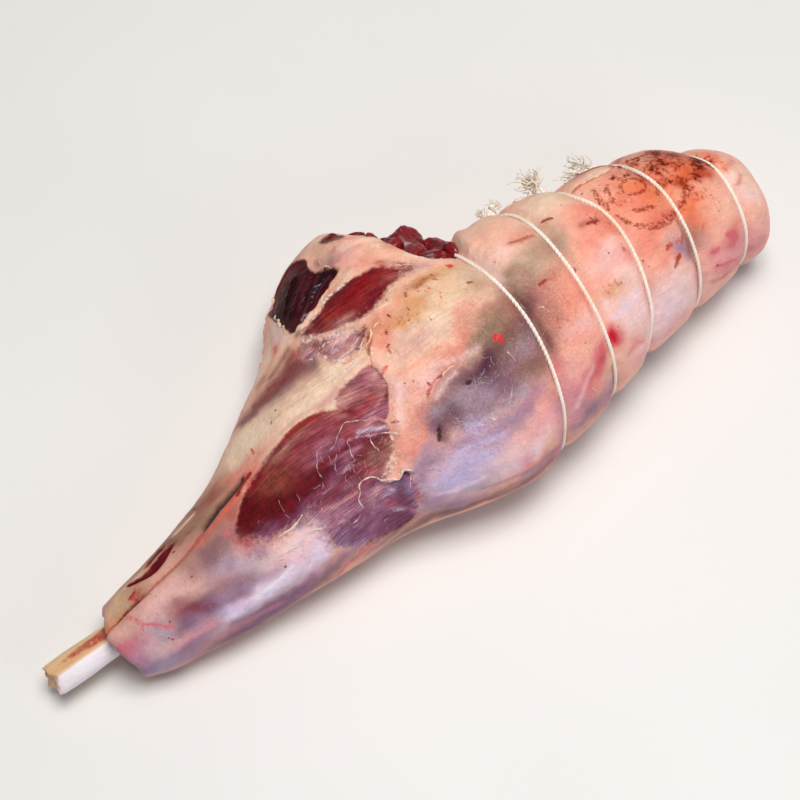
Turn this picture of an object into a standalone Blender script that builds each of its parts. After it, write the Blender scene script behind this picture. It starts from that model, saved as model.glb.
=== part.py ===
"""A raw leg of mutton: shank, thigh and a rolled rump tied with five loops of butcher's twine.

The leg lies on its flat underside. +X runs from the sawn shank bone to the butt end, +Y is the side
where the flap and the knots are, and +Z is up. Lengths are in metres, and lengths along the leg are
counted from close to the tip of the bone, until the finished pieces are moved to the middle of their box.
"""

import math

import bmesh
import bpy
from mathutils import Matrix, Vector

# The meat
SHANK_CUT = 0.039           # where the meat begins on the bone
BUTT_END = 0.503            # the far end of the rolled rump
RING_POINTS = 40            # points round one cross-section
UNDERSIDE_SINK = 0.007      # how far a section would reach below the table if it were not pressed flat
BUTT_ROUNDING = 0.014       # radius of the edge round the butt end
SHANK_ROUNDING = 0.004

# The shank bone
BONE_HALF_WIDTH = 0.0090
BONE_HALF_HEIGHT = 0.0088
BONE_AXIS = (0.001, 0.024)  # across and up, at the shank cut
BONE_CLIMB = 0.10           # how steeply the bone rises towards the knee
BONE_SIDES = 20
BONE_SHARES = (             # distance along the leg, share of the full thickness there
    (-0.004, 0.90),
    (-0.0025, 1.0),
    (0.012, 1.03),
    (0.030, 0.98),
    (0.060, 0.95),
    (0.110, 0.98),
    (0.170, 1.08),
)
FIT_GAP = 0.0003            # clear gap between two pieces that touch

# The twine
TWINE_RADIUS = 0.0012
TWINE_PINCH = 0.0034        # how deep a loop presses into the meat
PINCH_SPREAD = 0.0046       # half width of that groove
TWINE_CLEAR = 0.0020        # from the bottom of the groove to the middle of the twine
KNOT_RADIUS = 0.0032
KNOT_CLEAR = 0.0053         # from the bottom of the groove to the middle of a knot
KNOT_STRETCH = Vector((1.15, 1.0, 0.9))
TAIL_BEND = 0.12            # how far a tail bows, as a share of its length
TAIL_SHARES = (0, 0.35, 0.7, 1)
WELD = 0.00001

# Each loop's place along the leg, how far it strays from there at each of the STRAY_TURNS, the turn of its
# knot, and the far ends of its two tails, measured from the knot along the leg, out to the left and up.
# Turns are in degrees from the left side over the top.
STRAY_TURNS = (-60, 15, 60, 105, 150, 180, 230, 300)
STRAY_SPREAD = 0.014        # how far along the leg a loop takes the meat with it
LOOPS = (
    (0.319, (0, -0.002, -0.004, -0.001, -0.006, -0.010, -0.004, 0), -8,
     ((-0.001, 0.010, 0.004), (0.007, 0.007, -0.003))),
    (0.355, (0, -0.001, 0.001, 0.001, 0.000, -0.001, 0.000, 0), 17,
     ((-0.004, 0.005, 0.001), (0.006, 0.005, 0.003))),
    (0.396, (0, -0.007, -0.007, 0.000, -0.004, -0.009, -0.003, 0), 18,
     ((-0.013, 0.003, -0.001), (-0.001, 0.012, 0.004))),
    (0.434, (0, -0.005, -0.003, 0.001, 0.000, -0.001, 0.000, 0), 14,
     ((-0.012, 0.004, 0.001), (-0.006, 0.009, 0.002))),
    (0.477, (0, -0.007, -0.005, 0.001, 0.001, 0.000, 0.000, 0), -5,
     ((-0.005, 0.007, -0.001), (0.007, 0.005, 0.003))),
)

# Distance along the leg, right edge, left edge and crest across it, heights of the crest and of the
# widest level
SECTIONS = (
    (0.039, -0.026, 0.021, -0.004, 0.045, 0.021),
    (0.060, -0.032, 0.024, -0.005, 0.054, 0.024),
    (0.100, -0.038, 0.033, -0.004, 0.064, 0.028),
    (0.130, -0.041, 0.044, 0.000, 0.072, 0.031),
    (0.165, -0.043, 0.066, 0.005, 0.082, 0.035),
    (0.195, -0.044, 0.088, 0.008, 0.089, 0.037),
    (0.222, -0.048, 0.117, 0.010, 0.096, 0.040),
    (0.245, -0.055, 0.132, 0.012, 0.102, 0.042),
    (0.268, -0.061, 0.137, 0.013, 0.107, 0.044),
    (0.284, -0.063, 0.124, 0.014, 0.110, 0.045),
    (0.300, -0.061, 0.104, 0.015, 0.113, 0.047),
    (0.316, -0.060, 0.081, 0.018, 0.115, 0.048),
    (0.336, -0.055, 0.080, 0.022, 0.117, 0.049),
    (0.350, -0.051, 0.081, 0.024, 0.117, 0.049),
    (0.375, -0.044, 0.077, 0.027, 0.116, 0.049),
    (0.405, -0.037, 0.073, 0.028, 0.113, 0.048),
    (0.432, -0.031, 0.073, 0.027, 0.107, 0.046),
    (0.455, -0.026, 0.069, 0.025, 0.099, 0.044),
    (0.480, -0.021, 0.057, 0.024, 0.090, 0.041),
    (0.503, -0.019, 0.046, 0.022, 0.077, 0.037),
)

# Lumps (+) and hollows (-) on the skin: distance along the leg, turn in degrees from the left side
# over the top, height, then how far it spreads along the leg and round it
SWELLS = (
    (0.306, 50, -0.0030, 0.013, 14),    # the notch between the flap and the rolled rump
    (0.338, 40, 0.0025, 0.012, 26),     # the lip of the roll beside the notch
    (0.283, 46, 0.0020, 0.018, 14),     # the fat edge over the notch
    (0.255, 38, -0.0030, 0.020, 12),    # the dried hollow of the flap
    (0.200, 75, 0.0030, 0.040, 30),     # the round of the knee muscle
    (0.150, 50, -0.0035, 0.030, 16),    # the hollow behind the shank
    (0.375, 70, 0.0018, 0.011, 40),     # the roll bulges between its loops
    (0.415, 110, 0.0016, 0.011, 50),
    (0.455, 90, 0.0016, 0.012, 50),
    (0.090, 100, 0.0016, 0.030, 22),
)


def smooth_through(places, values, at):
    """A smooth curve through the given values, which never overshoots between two of them."""
    if at <= places[0]:
        return values[0]
    if at >= places[-1]:
        return values[-1]
    k = max(i for i, place in enumerate(places) if place <= at)

    def slope(i):
        if i in (0, len(places) - 1):
            return 0.0
        before = (values[i] - values[i - 1]) / (places[i] - places[i - 1])
        after = (values[i + 1] - values[i]) / (places[i + 1] - places[i])
        return 0.0 if before * after <= 0 else 2 * before * after / (before + after)

    step = places[k + 1] - places[k]
    t = (at - places[k]) / step
    return (
        values[k] * (1 + 2 * t) * (1 - t) ** 2
        + values[k + 1] * t * t * (3 - 2 * t)
        + slope(k) * step * t * (1 - t) ** 2
        - slope(k + 1) * step * t * t * (1 - t)
    )


def section_at(x):
    """The right edge, left edge, crest, top and widest level of the leg at one place."""
    places = [row[0] for row in SECTIONS]
    return [smooth_through(places, [row[i] for row in SECTIONS], x) for i in range(1, 6)]


def pinch_at(x):
    """How far the twine draws the meat in at one place along the leg."""
    return TWINE_PINCH * max(math.exp(-(((x - loop[0]) / PINCH_SPREAD) ** 2)) for loop in LOOPS)


def swell_at(x, turn):
    """The height of the lumps and hollows at one point of the skin."""
    height = 0.0
    for place, degrees, rise, along, around in SWELLS:
        apart = (math.degrees(turn) - degrees + 180) % 360 - 180
        height += rise * math.exp(-(((x - place) / along) ** 2) - (apart / around) ** 2)
    return height


def stray_at(x, turn):
    """How far along the leg the loops, which don't lie quite square, take a point with them."""
    degrees = (math.degrees(turn) + 60) % 360 - 60
    stray = 0.0
    for loop in LOOPS:
        share = math.exp(-(((x - loop[0]) / STRAY_SPREAD) ** 2))
        stray += share * smooth_through(STRAY_TURNS, loop[1], degrees)
    return stray


def section_point(x, turn, inset=0.0):
    """One point on the leg's skin, drawn in by inset. The turn starts on the left and goes over the top."""
    right, left, crest, top, waist = section_at(x)
    across, up = math.cos(turn), math.sin(turn)
    half = left - crest if across > 0 else crest - right
    high = top - waist if up > 0 else waist + UNDERSIDE_SINK
    drawn = pinch_at(x) + inset - swell_at(x, turn)
    y = crest + (half - drawn) * across
    z = max(waist + (high - drawn) * up, pinch_at(x) + inset)
    return Vector((x + stray_at(x, turn), y, z))


def clear_scene():
    """Removes whatever the scene holds."""
    for thing in list(bpy.data.objects):
        bpy.data.objects.remove(thing, do_unlink=True)


def collection_named(name):
    """A new collection in the scene."""
    made = bpy.data.collections.new(name)
    bpy.context.scene.collection.children.link(made)
    return made


def material_named(name, colour, roughness):
    """A plain Principled material."""
    made = bpy.data.materials.new(name)
    made.use_nodes = True
    shader = made.node_tree.nodes["Principled BSDF"]
    shader.inputs["Base Color"].default_value = (*colour, 1.0)
    shader.inputs["Roughness"].default_value = roughness
    shader.inputs["Metallic"].default_value = 0.0
    return made


def object_from(bm, name, material, collection):
    """Turns a bmesh into a smooth-shaded object."""
    bmesh.ops.recalc_face_normals(bm, faces=bm.faces)
    mesh = bpy.data.meshes.new(name)
    bm.to_mesh(mesh)
    bm.free()
    mesh.materials.append(material)
    mesh.shade_smooth()
    made = bpy.data.objects.new(name, mesh)
    collection.objects.link(made)
    return made


def loft(bm, rings):
    """Joins rings of equally many points, each to the next, and fills both ends."""
    loops = [[bm.verts.new(point) for point in ring] for ring in rings]
    for loop, following in zip(loops, loops[1:]):
        count = len(loop)
        for i in range(count):
            j = (i + 1) % count
            bm.faces.new((loop[i], loop[j], following[j], following[i]))
    for loop in (loops[0], loops[-1]):
        middle = bm.verts.new(sum((v.co for v in loop), Vector()) / len(loop))
        for i, corner in enumerate(loop):
            bm.faces.new((corner, loop[(i + 1) % len(loop)], middle))


def ring_stations():
    """Where the meat's rings go: evenly, closer at each loop of twine, and rounded in at both ends."""
    even = 0.0135
    first, last = SHANK_CUT + SHANK_ROUNDING, BUTT_END - BUTT_ROUNDING
    count = round((last - first) / even)
    plain = [first + (last - first) * i / count for i in range(count + 1)]
    groove = (-2.1, -1.1, -0.45, 0.0, 0.45, 1.1, 2.1)
    places = [loop[0] for loop in LOOPS]
    close = [place + step * PINCH_SPREAD for place in places for step in groove]
    near = max(groove) * PINCH_SPREAD + 0.4 * even
    kept = [x for x in plain if all(abs(x - place) > near for place in places)]
    stations = [(x, 0.0) for x in sorted(kept + close)]
    for turn in (30, 60, 90):
        lean = math.radians(turn)
        out, inward = math.sin(lean), 1 - math.cos(lean)
        stations.insert(0, (first - SHANK_ROUNDING * out, SHANK_ROUNDING * inward))
        stations.append((last + BUTT_ROUNDING * out, BUTT_ROUNDING * inward))
    return stations


def build_meat(material, collection):
    """The whole piece of meat: shank, thigh, flap and rolled rump."""
    turns = [2 * math.pi * i / RING_POINTS for i in range(RING_POINTS)]
    bm = bmesh.new()
    loft(bm, [[section_point(x, turn, inset) for turn in turns] for x, inset in ring_stations()])
    bmesh.ops.dissolve_limit(bm, angle_limit=math.radians(0.05), verts=bm.verts, edges=bm.edges)
    return object_from(bm, "meat", material, collection)


def bone_rings(grown):
    """Rings down the shank bone from its sawn tip to the knee, grown by a clear gap for the cutter."""
    rings = []
    for x, share in BONE_SHARES:
        ring = []
        for i in range(BONE_SIDES):
            turn = 2 * math.pi * i / BONE_SIDES
            ridge = 1 + 0.06 * math.cos(2 * turn - 1.2) + 0.03 * math.cos(3 * turn)
            wide = BONE_HALF_WIDTH * share * ridge + grown
            high = BONE_HALF_HEIGHT * share * ridge + grown
            climb = BONE_CLIMB * (x - SHANK_CUT)
            y = BONE_AXIS[0] + wide * math.cos(turn)
            ring.append(Vector((x, y, BONE_AXIS[1] + climb + high * math.sin(turn))))
        rings.append(ring)
    rings[0] = [point - Vector((grown, 0, 0)) for point in rings[0]]
    rings[-1] = [point + Vector((grown, 0, 0)) for point in rings[-1]]
    return rings


def build_bone(meat, material, collection, cutters):
    """The shank bone, and its socket in the meat."""
    bm = bmesh.new()
    loft(bm, bone_rings(0.0))
    bone = object_from(bm, "shank_bone", material, collection)
    bm = bmesh.new()
    loft(bm, bone_rings(FIT_GAP))
    cutter = object_from(bm, "bone_cutter", material, cutters)
    cutter.hide_render = True
    cutter.display_type = "WIRE"
    cut = meat.modifiers.new("bone_socket", "BOOLEAN")
    cut.operation = "DIFFERENCE"
    cut.object = cutter
    return bone


def tube_shape(name, points, closed):
    """A round tube of twine along the given points, made a mesh with its caps welded on."""
    curve = bpy.data.curves.new(name, "CURVE")
    curve.dimensions = "3D"
    curve.bevel_depth = TWINE_RADIUS
    curve.bevel_resolution = 2
    curve.use_fill_caps = True
    spline = curve.splines.new("POLY")
    spline.points.add(len(points) - 1)
    for control, point in zip(spline.points, points):
        control.co = (*point, 1.0)
    spline.use_cyclic_u = closed
    holder = bpy.data.objects.new(name + "_curve", curve)
    bpy.context.scene.collection.objects.link(holder)
    bpy.context.view_layer.update()
    mesh = bpy.data.meshes.new_from_object(holder.evaluated_get(bpy.context.evaluated_depsgraph_get()))
    bm = bmesh.new()
    bm.from_mesh(mesh)
    bpy.data.objects.remove(holder, do_unlink=True)
    bpy.data.meshes.remove(mesh)
    bmesh.ops.remove_doubles(bm, verts=bm.verts, dist=WELD)
    return bm


def joined(base, piece):
    """Adds one closed shape to another with a Boolean union."""
    piece.hide_render = True
    piece.display_type = "WIRE"
    union = base.modifiers.new(piece.name, "BOOLEAN")
    union.operation = "UNION"
    union.object = piece


def build_twine(number, material, collection, cutters):
    """One loop of twine, in its groove round the leg, with its knot and two short tails."""
    place, _, knot_turn, tails = LOOPS[number - 1]
    turns = [2 * math.pi * i / RING_POINTS for i in range(RING_POINTS)]
    path = [section_point(place, turn, -TWINE_CLEAR) for turn in turns]
    name = f"twine_{number}"
    twine = object_from(tube_shape(name, path, True), name, material, collection)
    middle = section_point(place, math.radians(knot_turn), -KNOT_CLEAR)
    knot = bmesh.new()
    bmesh.ops.create_uvsphere(knot, u_segments=10, v_segments=6, radius=KNOT_RADIUS)
    bmesh.ops.scale(knot, verts=knot.verts, vec=KNOT_STRETCH)
    bmesh.ops.translate(knot, verts=knot.verts, vec=middle)
    joined(twine, object_from(knot, f"knot_{number}", material, cutters))
    for side, end in enumerate(tails, 1):
        reach = Vector(end)
        bow = reach.cross(Vector((0, 0, 1))) * TAIL_BEND
        route = [middle + reach * share + bow * math.sin(math.pi * share) for share in TAIL_SHARES]
        tail = object_from(tube_shape("tail", route, False), f"tail_{number}_{side}", material, cutters)
        joined(twine, tail)
    return twine


def recentre(pieces, followers):
    """Moves every piece so that the origin is at the bottom centre of the pieces' common box."""
    corners = [vertex.co for piece in pieces for vertex in piece.data.vertices]
    low = Vector([min(corner[axis] for corner in corners) for axis in range(3)])
    high = Vector([max(corner[axis] for corner in corners) for axis in range(3)])
    shift = Matrix.Translation((-(low.x + high.x) / 2, -(low.y + high.y) / 2, -low.z))
    for piece in (*pieces, *followers):
        piece.data.transform(shift)


def main():
    """Builds every piece, then moves the leg so that the origin is at the bottom centre of its box."""
    clear_scene()
    leg = collection_named("mutton_leg")
    cutters = collection_named("cutters")
    meat_finish = material_named("meat", (0.62, 0.33, 0.28), 0.45)
    bone_finish = material_named("bone", (0.78, 0.66, 0.48), 0.55)
    twine_finish = material_named("twine", (0.85, 0.80, 0.70), 0.80)
    meat = build_meat(meat_finish, leg)
    bone = build_bone(meat, bone_finish, leg, cutters)
    twines = [build_twine(number, twine_finish, leg, cutters) for number in range(1, len(LOOPS) + 1)]
    recentre([meat, bone, *twines], list(cutters.objects))


main()
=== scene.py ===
"""A raw mutton leg, tied with twine: its looks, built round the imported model.

Sizes are metres in the maker's own layout: x runs from the chipped end of the shank bone to the
rump, y to the left and z up. Marks on the skin are placed in millimetres along the leg and in
degrees round it, where 0 is the left side, 90 the top and 180 the right side.
"""

import logging
import math
from collections.abc import Sequence
from dataclasses import dataclass, field
from enum import Enum
from typing import NamedTuple

import bmesh
import bpy
import numpy as np
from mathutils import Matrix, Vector, noise

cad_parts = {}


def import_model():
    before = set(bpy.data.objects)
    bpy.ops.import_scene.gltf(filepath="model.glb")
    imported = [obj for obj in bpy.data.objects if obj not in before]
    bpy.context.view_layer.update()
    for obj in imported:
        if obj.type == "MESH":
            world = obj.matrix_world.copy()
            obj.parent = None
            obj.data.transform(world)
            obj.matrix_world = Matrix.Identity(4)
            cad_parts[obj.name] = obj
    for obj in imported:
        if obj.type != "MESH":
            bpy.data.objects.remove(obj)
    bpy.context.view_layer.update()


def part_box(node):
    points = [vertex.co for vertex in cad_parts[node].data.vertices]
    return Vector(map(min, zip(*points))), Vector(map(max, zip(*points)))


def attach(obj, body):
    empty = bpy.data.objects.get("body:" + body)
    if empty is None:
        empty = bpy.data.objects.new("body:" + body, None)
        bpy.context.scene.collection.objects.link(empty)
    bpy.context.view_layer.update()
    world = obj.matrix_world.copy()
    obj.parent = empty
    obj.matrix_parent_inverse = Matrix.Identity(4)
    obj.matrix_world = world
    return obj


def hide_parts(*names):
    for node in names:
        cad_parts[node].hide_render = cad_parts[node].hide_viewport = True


LOG = logging.getLogger("mutton_leg")
MM = 0.001

Tint = tuple[float, float, float]
Place = tuple[float, float]
Row = tuple[float, ...]


class Slot(Enum):
    """The record's material slots."""

    MEAT = "meat"
    BONE = "bone"
    TWINE = "twine"


class Hue(NamedTuple):
    """A colour of the leg, as screen values from 0 to 255."""

    red: int
    green: int
    blue: int

    @property
    def light(self) -> Tint:
        """The same colour as light, from 0 to 1."""
        shares = [part / 255 for part in self]
        return tuple(s / 12.92 if s <= 0.04045 else ((s + 0.055) / 1.055) ** 2.4 for s in shares)


CREAM = Hue(243, 214, 188)
BUTTER = Hue(227, 191, 150)
OCHRE = Hue(216, 148, 84)
PEACH = Hue(248, 184, 161)
SALMON = Hue(240, 148, 128)
CORAL = Hue(222, 102, 88)
TANGERINE = Hue(232, 112, 66)
ROSE = Hue(218, 100, 112)
CHERRY = Hue(200, 52, 78)
PINK = Hue(236, 166, 172)
BLUSH = Hue(216, 162, 154)
PALE = Hue(246, 208, 206)
SAND = Hue(206, 161, 134)
TAN = Hue(176, 116, 100)
RUSSET = Hue(140, 62, 32)
ASH = Hue(186, 168, 144)
STONE = Hue(138, 112, 88)
LILAC = Hue(202, 186, 224)
FROST = Hue(236, 216, 240)
SILVER = Hue(182, 162, 176)
HAZE = Hue(156, 126, 160)
ORCHID = Hue(206, 132, 160)
MAUVE = Hue(160, 106, 140)
HEATHER = Hue(132, 96, 124)
BRUISE = Hue(116, 40, 62)
DUSK = Hue(104, 64, 78)
UMBER = Hue(128, 86, 72)
TAUPE = Hue(142, 104, 106)
FAWN = Hue(160, 108, 90)
SIENNA = Hue(142, 78, 74)
CLAY = Hue(182, 96, 80)
ROSY = Hue(152, 70, 80)
MAROON = Hue(116, 20, 36)
WINE = Hue(92, 0, 12)
BLOOD = Hue(134, 0, 14)
SCARLET = Hue(232, 30, 38)
CRIMSON = Hue(212, 0, 40)
BRICK = Hue(148, 40, 36)
DRIED = Hue(132, 60, 48)
PLUM = Hue(112, 52, 82)
VIOLET = Hue(138, 82, 116)
MALLOW = Hue(170, 114, 136)
GRAPE = Hue(76, 32, 54)
SOOT = Hue(34, 2, 6)
COAL = Hue(16, 4, 5)
SLATE = Hue(58, 44, 40)
RUST = Hue(182, 58, 12)
RUSTY = Hue(150, 36, 8)
BARK = Hue(84, 14, 6)
BONE = Hue(222, 188, 142)
# near white: the chalky side of the bone, partly a painted highlight, and a painted streak of sheen on the
# shank
CHALK_SHEEN = Hue(246, 238, 244)


# ---------------------------------------------------------------- the form of the leg

SECTION_ROWS = (
    (0.039, -0.026, 0.021, -0.004, 0.045, 0.021),
    (0.060, -0.032, 0.024, -0.005, 0.054, 0.024),
    (0.100, -0.038, 0.033, -0.004, 0.064, 0.028),
    (0.130, -0.041, 0.044, 0.000, 0.072, 0.031),
    (0.165, -0.043, 0.066, 0.005, 0.082, 0.035),
    (0.195, -0.044, 0.088, 0.008, 0.089, 0.037),
    (0.222, -0.048, 0.117, 0.010, 0.096, 0.040),
    (0.245, -0.055, 0.132, 0.012, 0.102, 0.042),
    (0.268, -0.061, 0.137, 0.013, 0.107, 0.044),
    (0.284, -0.063, 0.124, 0.014, 0.110, 0.045),
    (0.300, -0.061, 0.104, 0.015, 0.113, 0.047),
    (0.316, -0.060, 0.081, 0.018, 0.115, 0.048),
    (0.336, -0.055, 0.080, 0.022, 0.117, 0.049),
    (0.350, -0.051, 0.081, 0.024, 0.117, 0.049),
    (0.375, -0.044, 0.077, 0.027, 0.116, 0.049),
    (0.405, -0.037, 0.073, 0.028, 0.113, 0.048),
    (0.432, -0.031, 0.073, 0.027, 0.107, 0.046),
    (0.455, -0.026, 0.069, 0.025, 0.099, 0.044),
    (0.480, -0.021, 0.057, 0.024, 0.090, 0.041),
    (0.503, -0.019, 0.046, 0.022, 0.077, 0.037),
)
SWELL_ROWS = (
    (0.306, 50, -0.0030, 0.013, 14),
    (0.338, 40, 0.0025, 0.012, 26),
    (0.283, 46, 0.0020, 0.018, 14),
    (0.255, 38, -0.0030, 0.020, 12),
    (0.200, 75, 0.0030, 0.040, 30),
    (0.150, 50, -0.0035, 0.030, 16),
    (0.375, 70, 0.0018, 0.011, 40),
    (0.415, 110, 0.0016, 0.011, 50),
    (0.455, 90, 0.0016, 0.012, 50),
    (0.090, 100, 0.0016, 0.030, 22),
)
STRAY_TURNS = (-60, 15, 60, 105, 150, 180, 230, 300)


@dataclass(frozen=True)
class LoopPath:
    """One loop of twine: where it goes round, how it strays, and its knot and tails."""

    place: float
    strays: Row
    knot_turn: float
    tails: tuple[tuple[float, float, float], ...]


LOOPS = (
    LoopPath(0.319, (0, -0.002, -0.004, -0.001, -0.006, -0.010, -0.004, 0), -8,
             ((-0.001, 0.010, 0.004), (0.007, 0.007, -0.003))),
    LoopPath(0.355, (0, -0.001, 0.001, 0.001, 0.000, -0.001, 0.000, 0), 23,
             ((-0.003, 0.004, 0.001), (0.005, 0.004, 0.002))),
    LoopPath(0.396, (0, -0.007, -0.007, 0.000, -0.004, -0.009, -0.003, 0), 23,
             ((-0.013, 0.003, -0.001), (-0.001, 0.012, 0.004))),
    LoopPath(0.434, (0, -0.005, -0.003, 0.001, 0.000, -0.001, 0.000, 0), 19,
             ((-0.012, 0.004, 0.001), (-0.006, 0.009, 0.002))),
    LoopPath(0.477, (0, -0.007, -0.005, 0.001, 0.001, 0.000, 0.000, 0), -5,
             ((-0.005, 0.007, -0.001), (0.007, 0.005, 0.003))),
)


def smooth_through(places: tuple, values: tuple, at: np.ndarray) -> np.ndarray:
    """A smooth curve through the given values, which never overshoots between two of them.

    Args:
        places: Where the values are, in rising order.
        values: The value at each place.
        at: Where the curve is wanted.

    Returns:
        The curve's value at each wanted place.
    """
    spots, heights = np.asarray(places, float), np.asarray(values, float)
    at = np.clip(at, spots[0], spots[-1])
    k = np.clip(np.searchsorted(spots, at, side="right") - 1, 0, len(spots) - 2)
    rise = np.diff(heights) / np.diff(spots)
    product = rise[:-1] * rise[1:]
    total = np.where(product > 0, rise[:-1] + rise[1:], 1.0)
    slopes = np.concatenate(([0.0], np.where(product > 0, 2 * product / total, 0.0), [0.0]))
    step = np.diff(spots)[k]
    t = (at - spots[k]) / step
    return (
        heights[k] * (1 + 2 * t) * (1 - t) ** 2
        + heights[k + 1] * t * t * (3 - 2 * t)
        + slopes[k] * step * t * (1 - t) ** 2
        - slopes[k + 1] * step * t * t * (1 - t)
    )


@dataclass
class LegForm:
    """The smooth form of the leg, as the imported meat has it."""

    cut: float = 0.039
    end: float = 0.503
    sink: float = 0.007
    pinch: float = 0.0034
    pinch_spread: float = 0.0046
    stray_spread: float = 0.014
    bone_axis: Place = (0.001, 0.024)
    bone_climb: float = 0.10
    bone_lead: float = 0.004
    bone_half: Place = (0.0090, 0.0088)
    origin: Vector = field(default_factory=Vector)

    def settle(self) -> None:
        """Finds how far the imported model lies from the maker's layout, from its shank bone."""
        low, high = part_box("shank_bone")
        turns = np.linspace(0, 2 * math.pi, 721)
        widest = (self.bone_half[0] * 1.08 * self.ridge(turns) * np.cos(turns)).min()
        self.origin = Vector((low.x + self.bone_lead, low.y - self.bone_axis[0] - widest, 0.0))
        LOG.info("layout shifted by %.4f, %.4f (bone %.4f high)", *self.origin.xy, high.z - low.z)

    @staticmethod
    def ridge(turns: np.ndarray) -> np.ndarray:
        """How far the bone swells or draws in round its girth, as a share."""
        return 1 + 0.06 * np.cos(2 * turns - 1.2) + 0.03 * np.cos(3 * turns)

    def pinched(self, x: np.ndarray) -> np.ndarray:
        """How far the twine draws the meat in at each place along the leg."""
        dips = [np.exp(-(((x - loop.place) / self.pinch_spread) ** 2)) for loop in LOOPS]
        return self.pinch * np.max(dips, axis=0)

    def points(self, x: np.ndarray, degrees: np.ndarray, inset: np.ndarray | float = 0.0) -> np.ndarray:
        """Points on the smooth skin.

        Args:
            x: Place along the leg.
            degrees: Turn round the leg.
            inset: How far the skin is drawn in there.

        Returns:
            An array of points, with one more axis than x.
        """
        x, degrees = np.broadcast_arrays(np.asarray(x, float), np.asarray(degrees, float))
        rows = np.array(SECTION_ROWS)
        right, left, crest, top, waist = (smooth_through(rows[:, 0], rows[:, i], x) for i in range(1, 6))
        across, up = np.cos(np.radians(degrees)), np.sin(np.radians(degrees))
        swell, stray = np.zeros_like(x), np.zeros_like(x)
        for place, turn, rise, along, around in SWELL_ROWS:
            apart = (degrees - turn + 180) % 360 - 180
            swell += rise * np.exp(-(((x - place) / along) ** 2) - (apart / around) ** 2)
        for loop in LOOPS:
            share = np.exp(-(((x - loop.place) / self.stray_spread) ** 2))
            stray += share * smooth_through(STRAY_TURNS, loop.strays, (degrees + 60) % 360 - 60)
        half = np.where(across > 0, left - crest, crest - right)
        high = np.where(up > 0, top - waist, waist + self.sink)
        drawn = self.pinched(x) + inset - swell
        y = crest + (half - drawn) * across
        z = np.maximum(waist + (high - drawn) * up, self.pinched(x) + inset)
        return np.stack((x + stray, y, z), axis=-1)

    def bone_points(self, x: np.ndarray, degrees: np.ndarray, share: np.ndarray, grown: float) -> np.ndarray:
        """Points on the shank bone or, when grown, on its socket."""
        turns = np.radians(degrees)
        ridge = self.ridge(turns)
        y = self.bone_axis[0] + (self.bone_half[0] * share * ridge + grown) * np.cos(turns)
        climb = self.bone_climb * (x - self.cut)
        z = self.bone_axis[1] + climb + (self.bone_half[1] * share * ridge + grown) * np.sin(turns)
        return np.stack((x + 0 * y, y, z), axis=-1)


# ---------------------------------------------------------------- the map of the skin

GIRTH_PLACES = (40, 130, 220, 300, 430, 500)
GIRTH_STEPS = (0.46, 0.66, 1.15, 1.15, 1.0, 0.75)
REACH = 12.0
# How soft paint strays along the leg and round it: two sizes of lumps, in millimetres
STRAYING = (((4.5, 17.0, 4.3), (2.6, 5.5, 12.9)), ((4.5, 17.0, 61.7), (2.6, 5.5, 88.1)))


def arc(x: np.ndarray | float, degrees: np.ndarray | float) -> np.ndarray:
    """Millimetres round the skin from the crest, for a place in millimetres and degrees."""
    return (np.asarray(degrees, float) - 90) * np.interp(x, GIRTH_PLACES, GIRTH_STEPS)


def on_map(path: tuple[Place, ...]) -> np.ndarray:
    """A path of places as points on the flat map, in millimetres."""
    spots = np.asarray(path, float)
    return np.stack((spots[:, 0], arc(spots[:, 0], spots[:, 1])), axis=1)


def rounded(path: tuple[Place, ...], closed: bool = False, rounds: int = 2) -> np.ndarray:
    """A path on the flat map with its corners cut off again and again, until it is smooth."""
    points = on_map(path)
    for _ in range(rounds):
        ahead = np.roll(points, -1, axis=0) if closed else points[1:]
        here = points if closed else points[:-1]
        cut = np.stack((0.75 * here + 0.25 * ahead, 0.25 * here + 0.75 * ahead), axis=1).reshape(-1, 2)
        points = cut if closed else np.vstack((points[:1], cut, points[-1:]))
    return points


def to_path(
    x: np.ndarray, s: np.ndarray, points: np.ndarray, closed: bool = False
) -> tuple[np.ndarray, np.ndarray]:
    """The distance from each spot of the flat map to a path, and what share of the path lies before it."""
    least, share = np.full(len(x), 1e9), np.zeros(len(x))
    ends = np.roll(points, -1, axis=0) if closed else points[1:]
    starts = points if closed else points[:-1]
    for k, (start, finish) in enumerate(zip(starts, ends)):
        run = finish - start
        t = ((x - start[0]) * run[0] + (s - start[1]) * run[1]) / max(float(run @ run), 1e-9)
        t = np.clip(t, 0, 1)
        gap = (x - start[0] - t * run[0]) ** 2 + (s - start[1] - t * run[1]) ** 2
        share = np.where(gap < least, (k + t) / len(starts), share)
        least = np.minimum(least, gap)
    return np.sqrt(least), share


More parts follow.
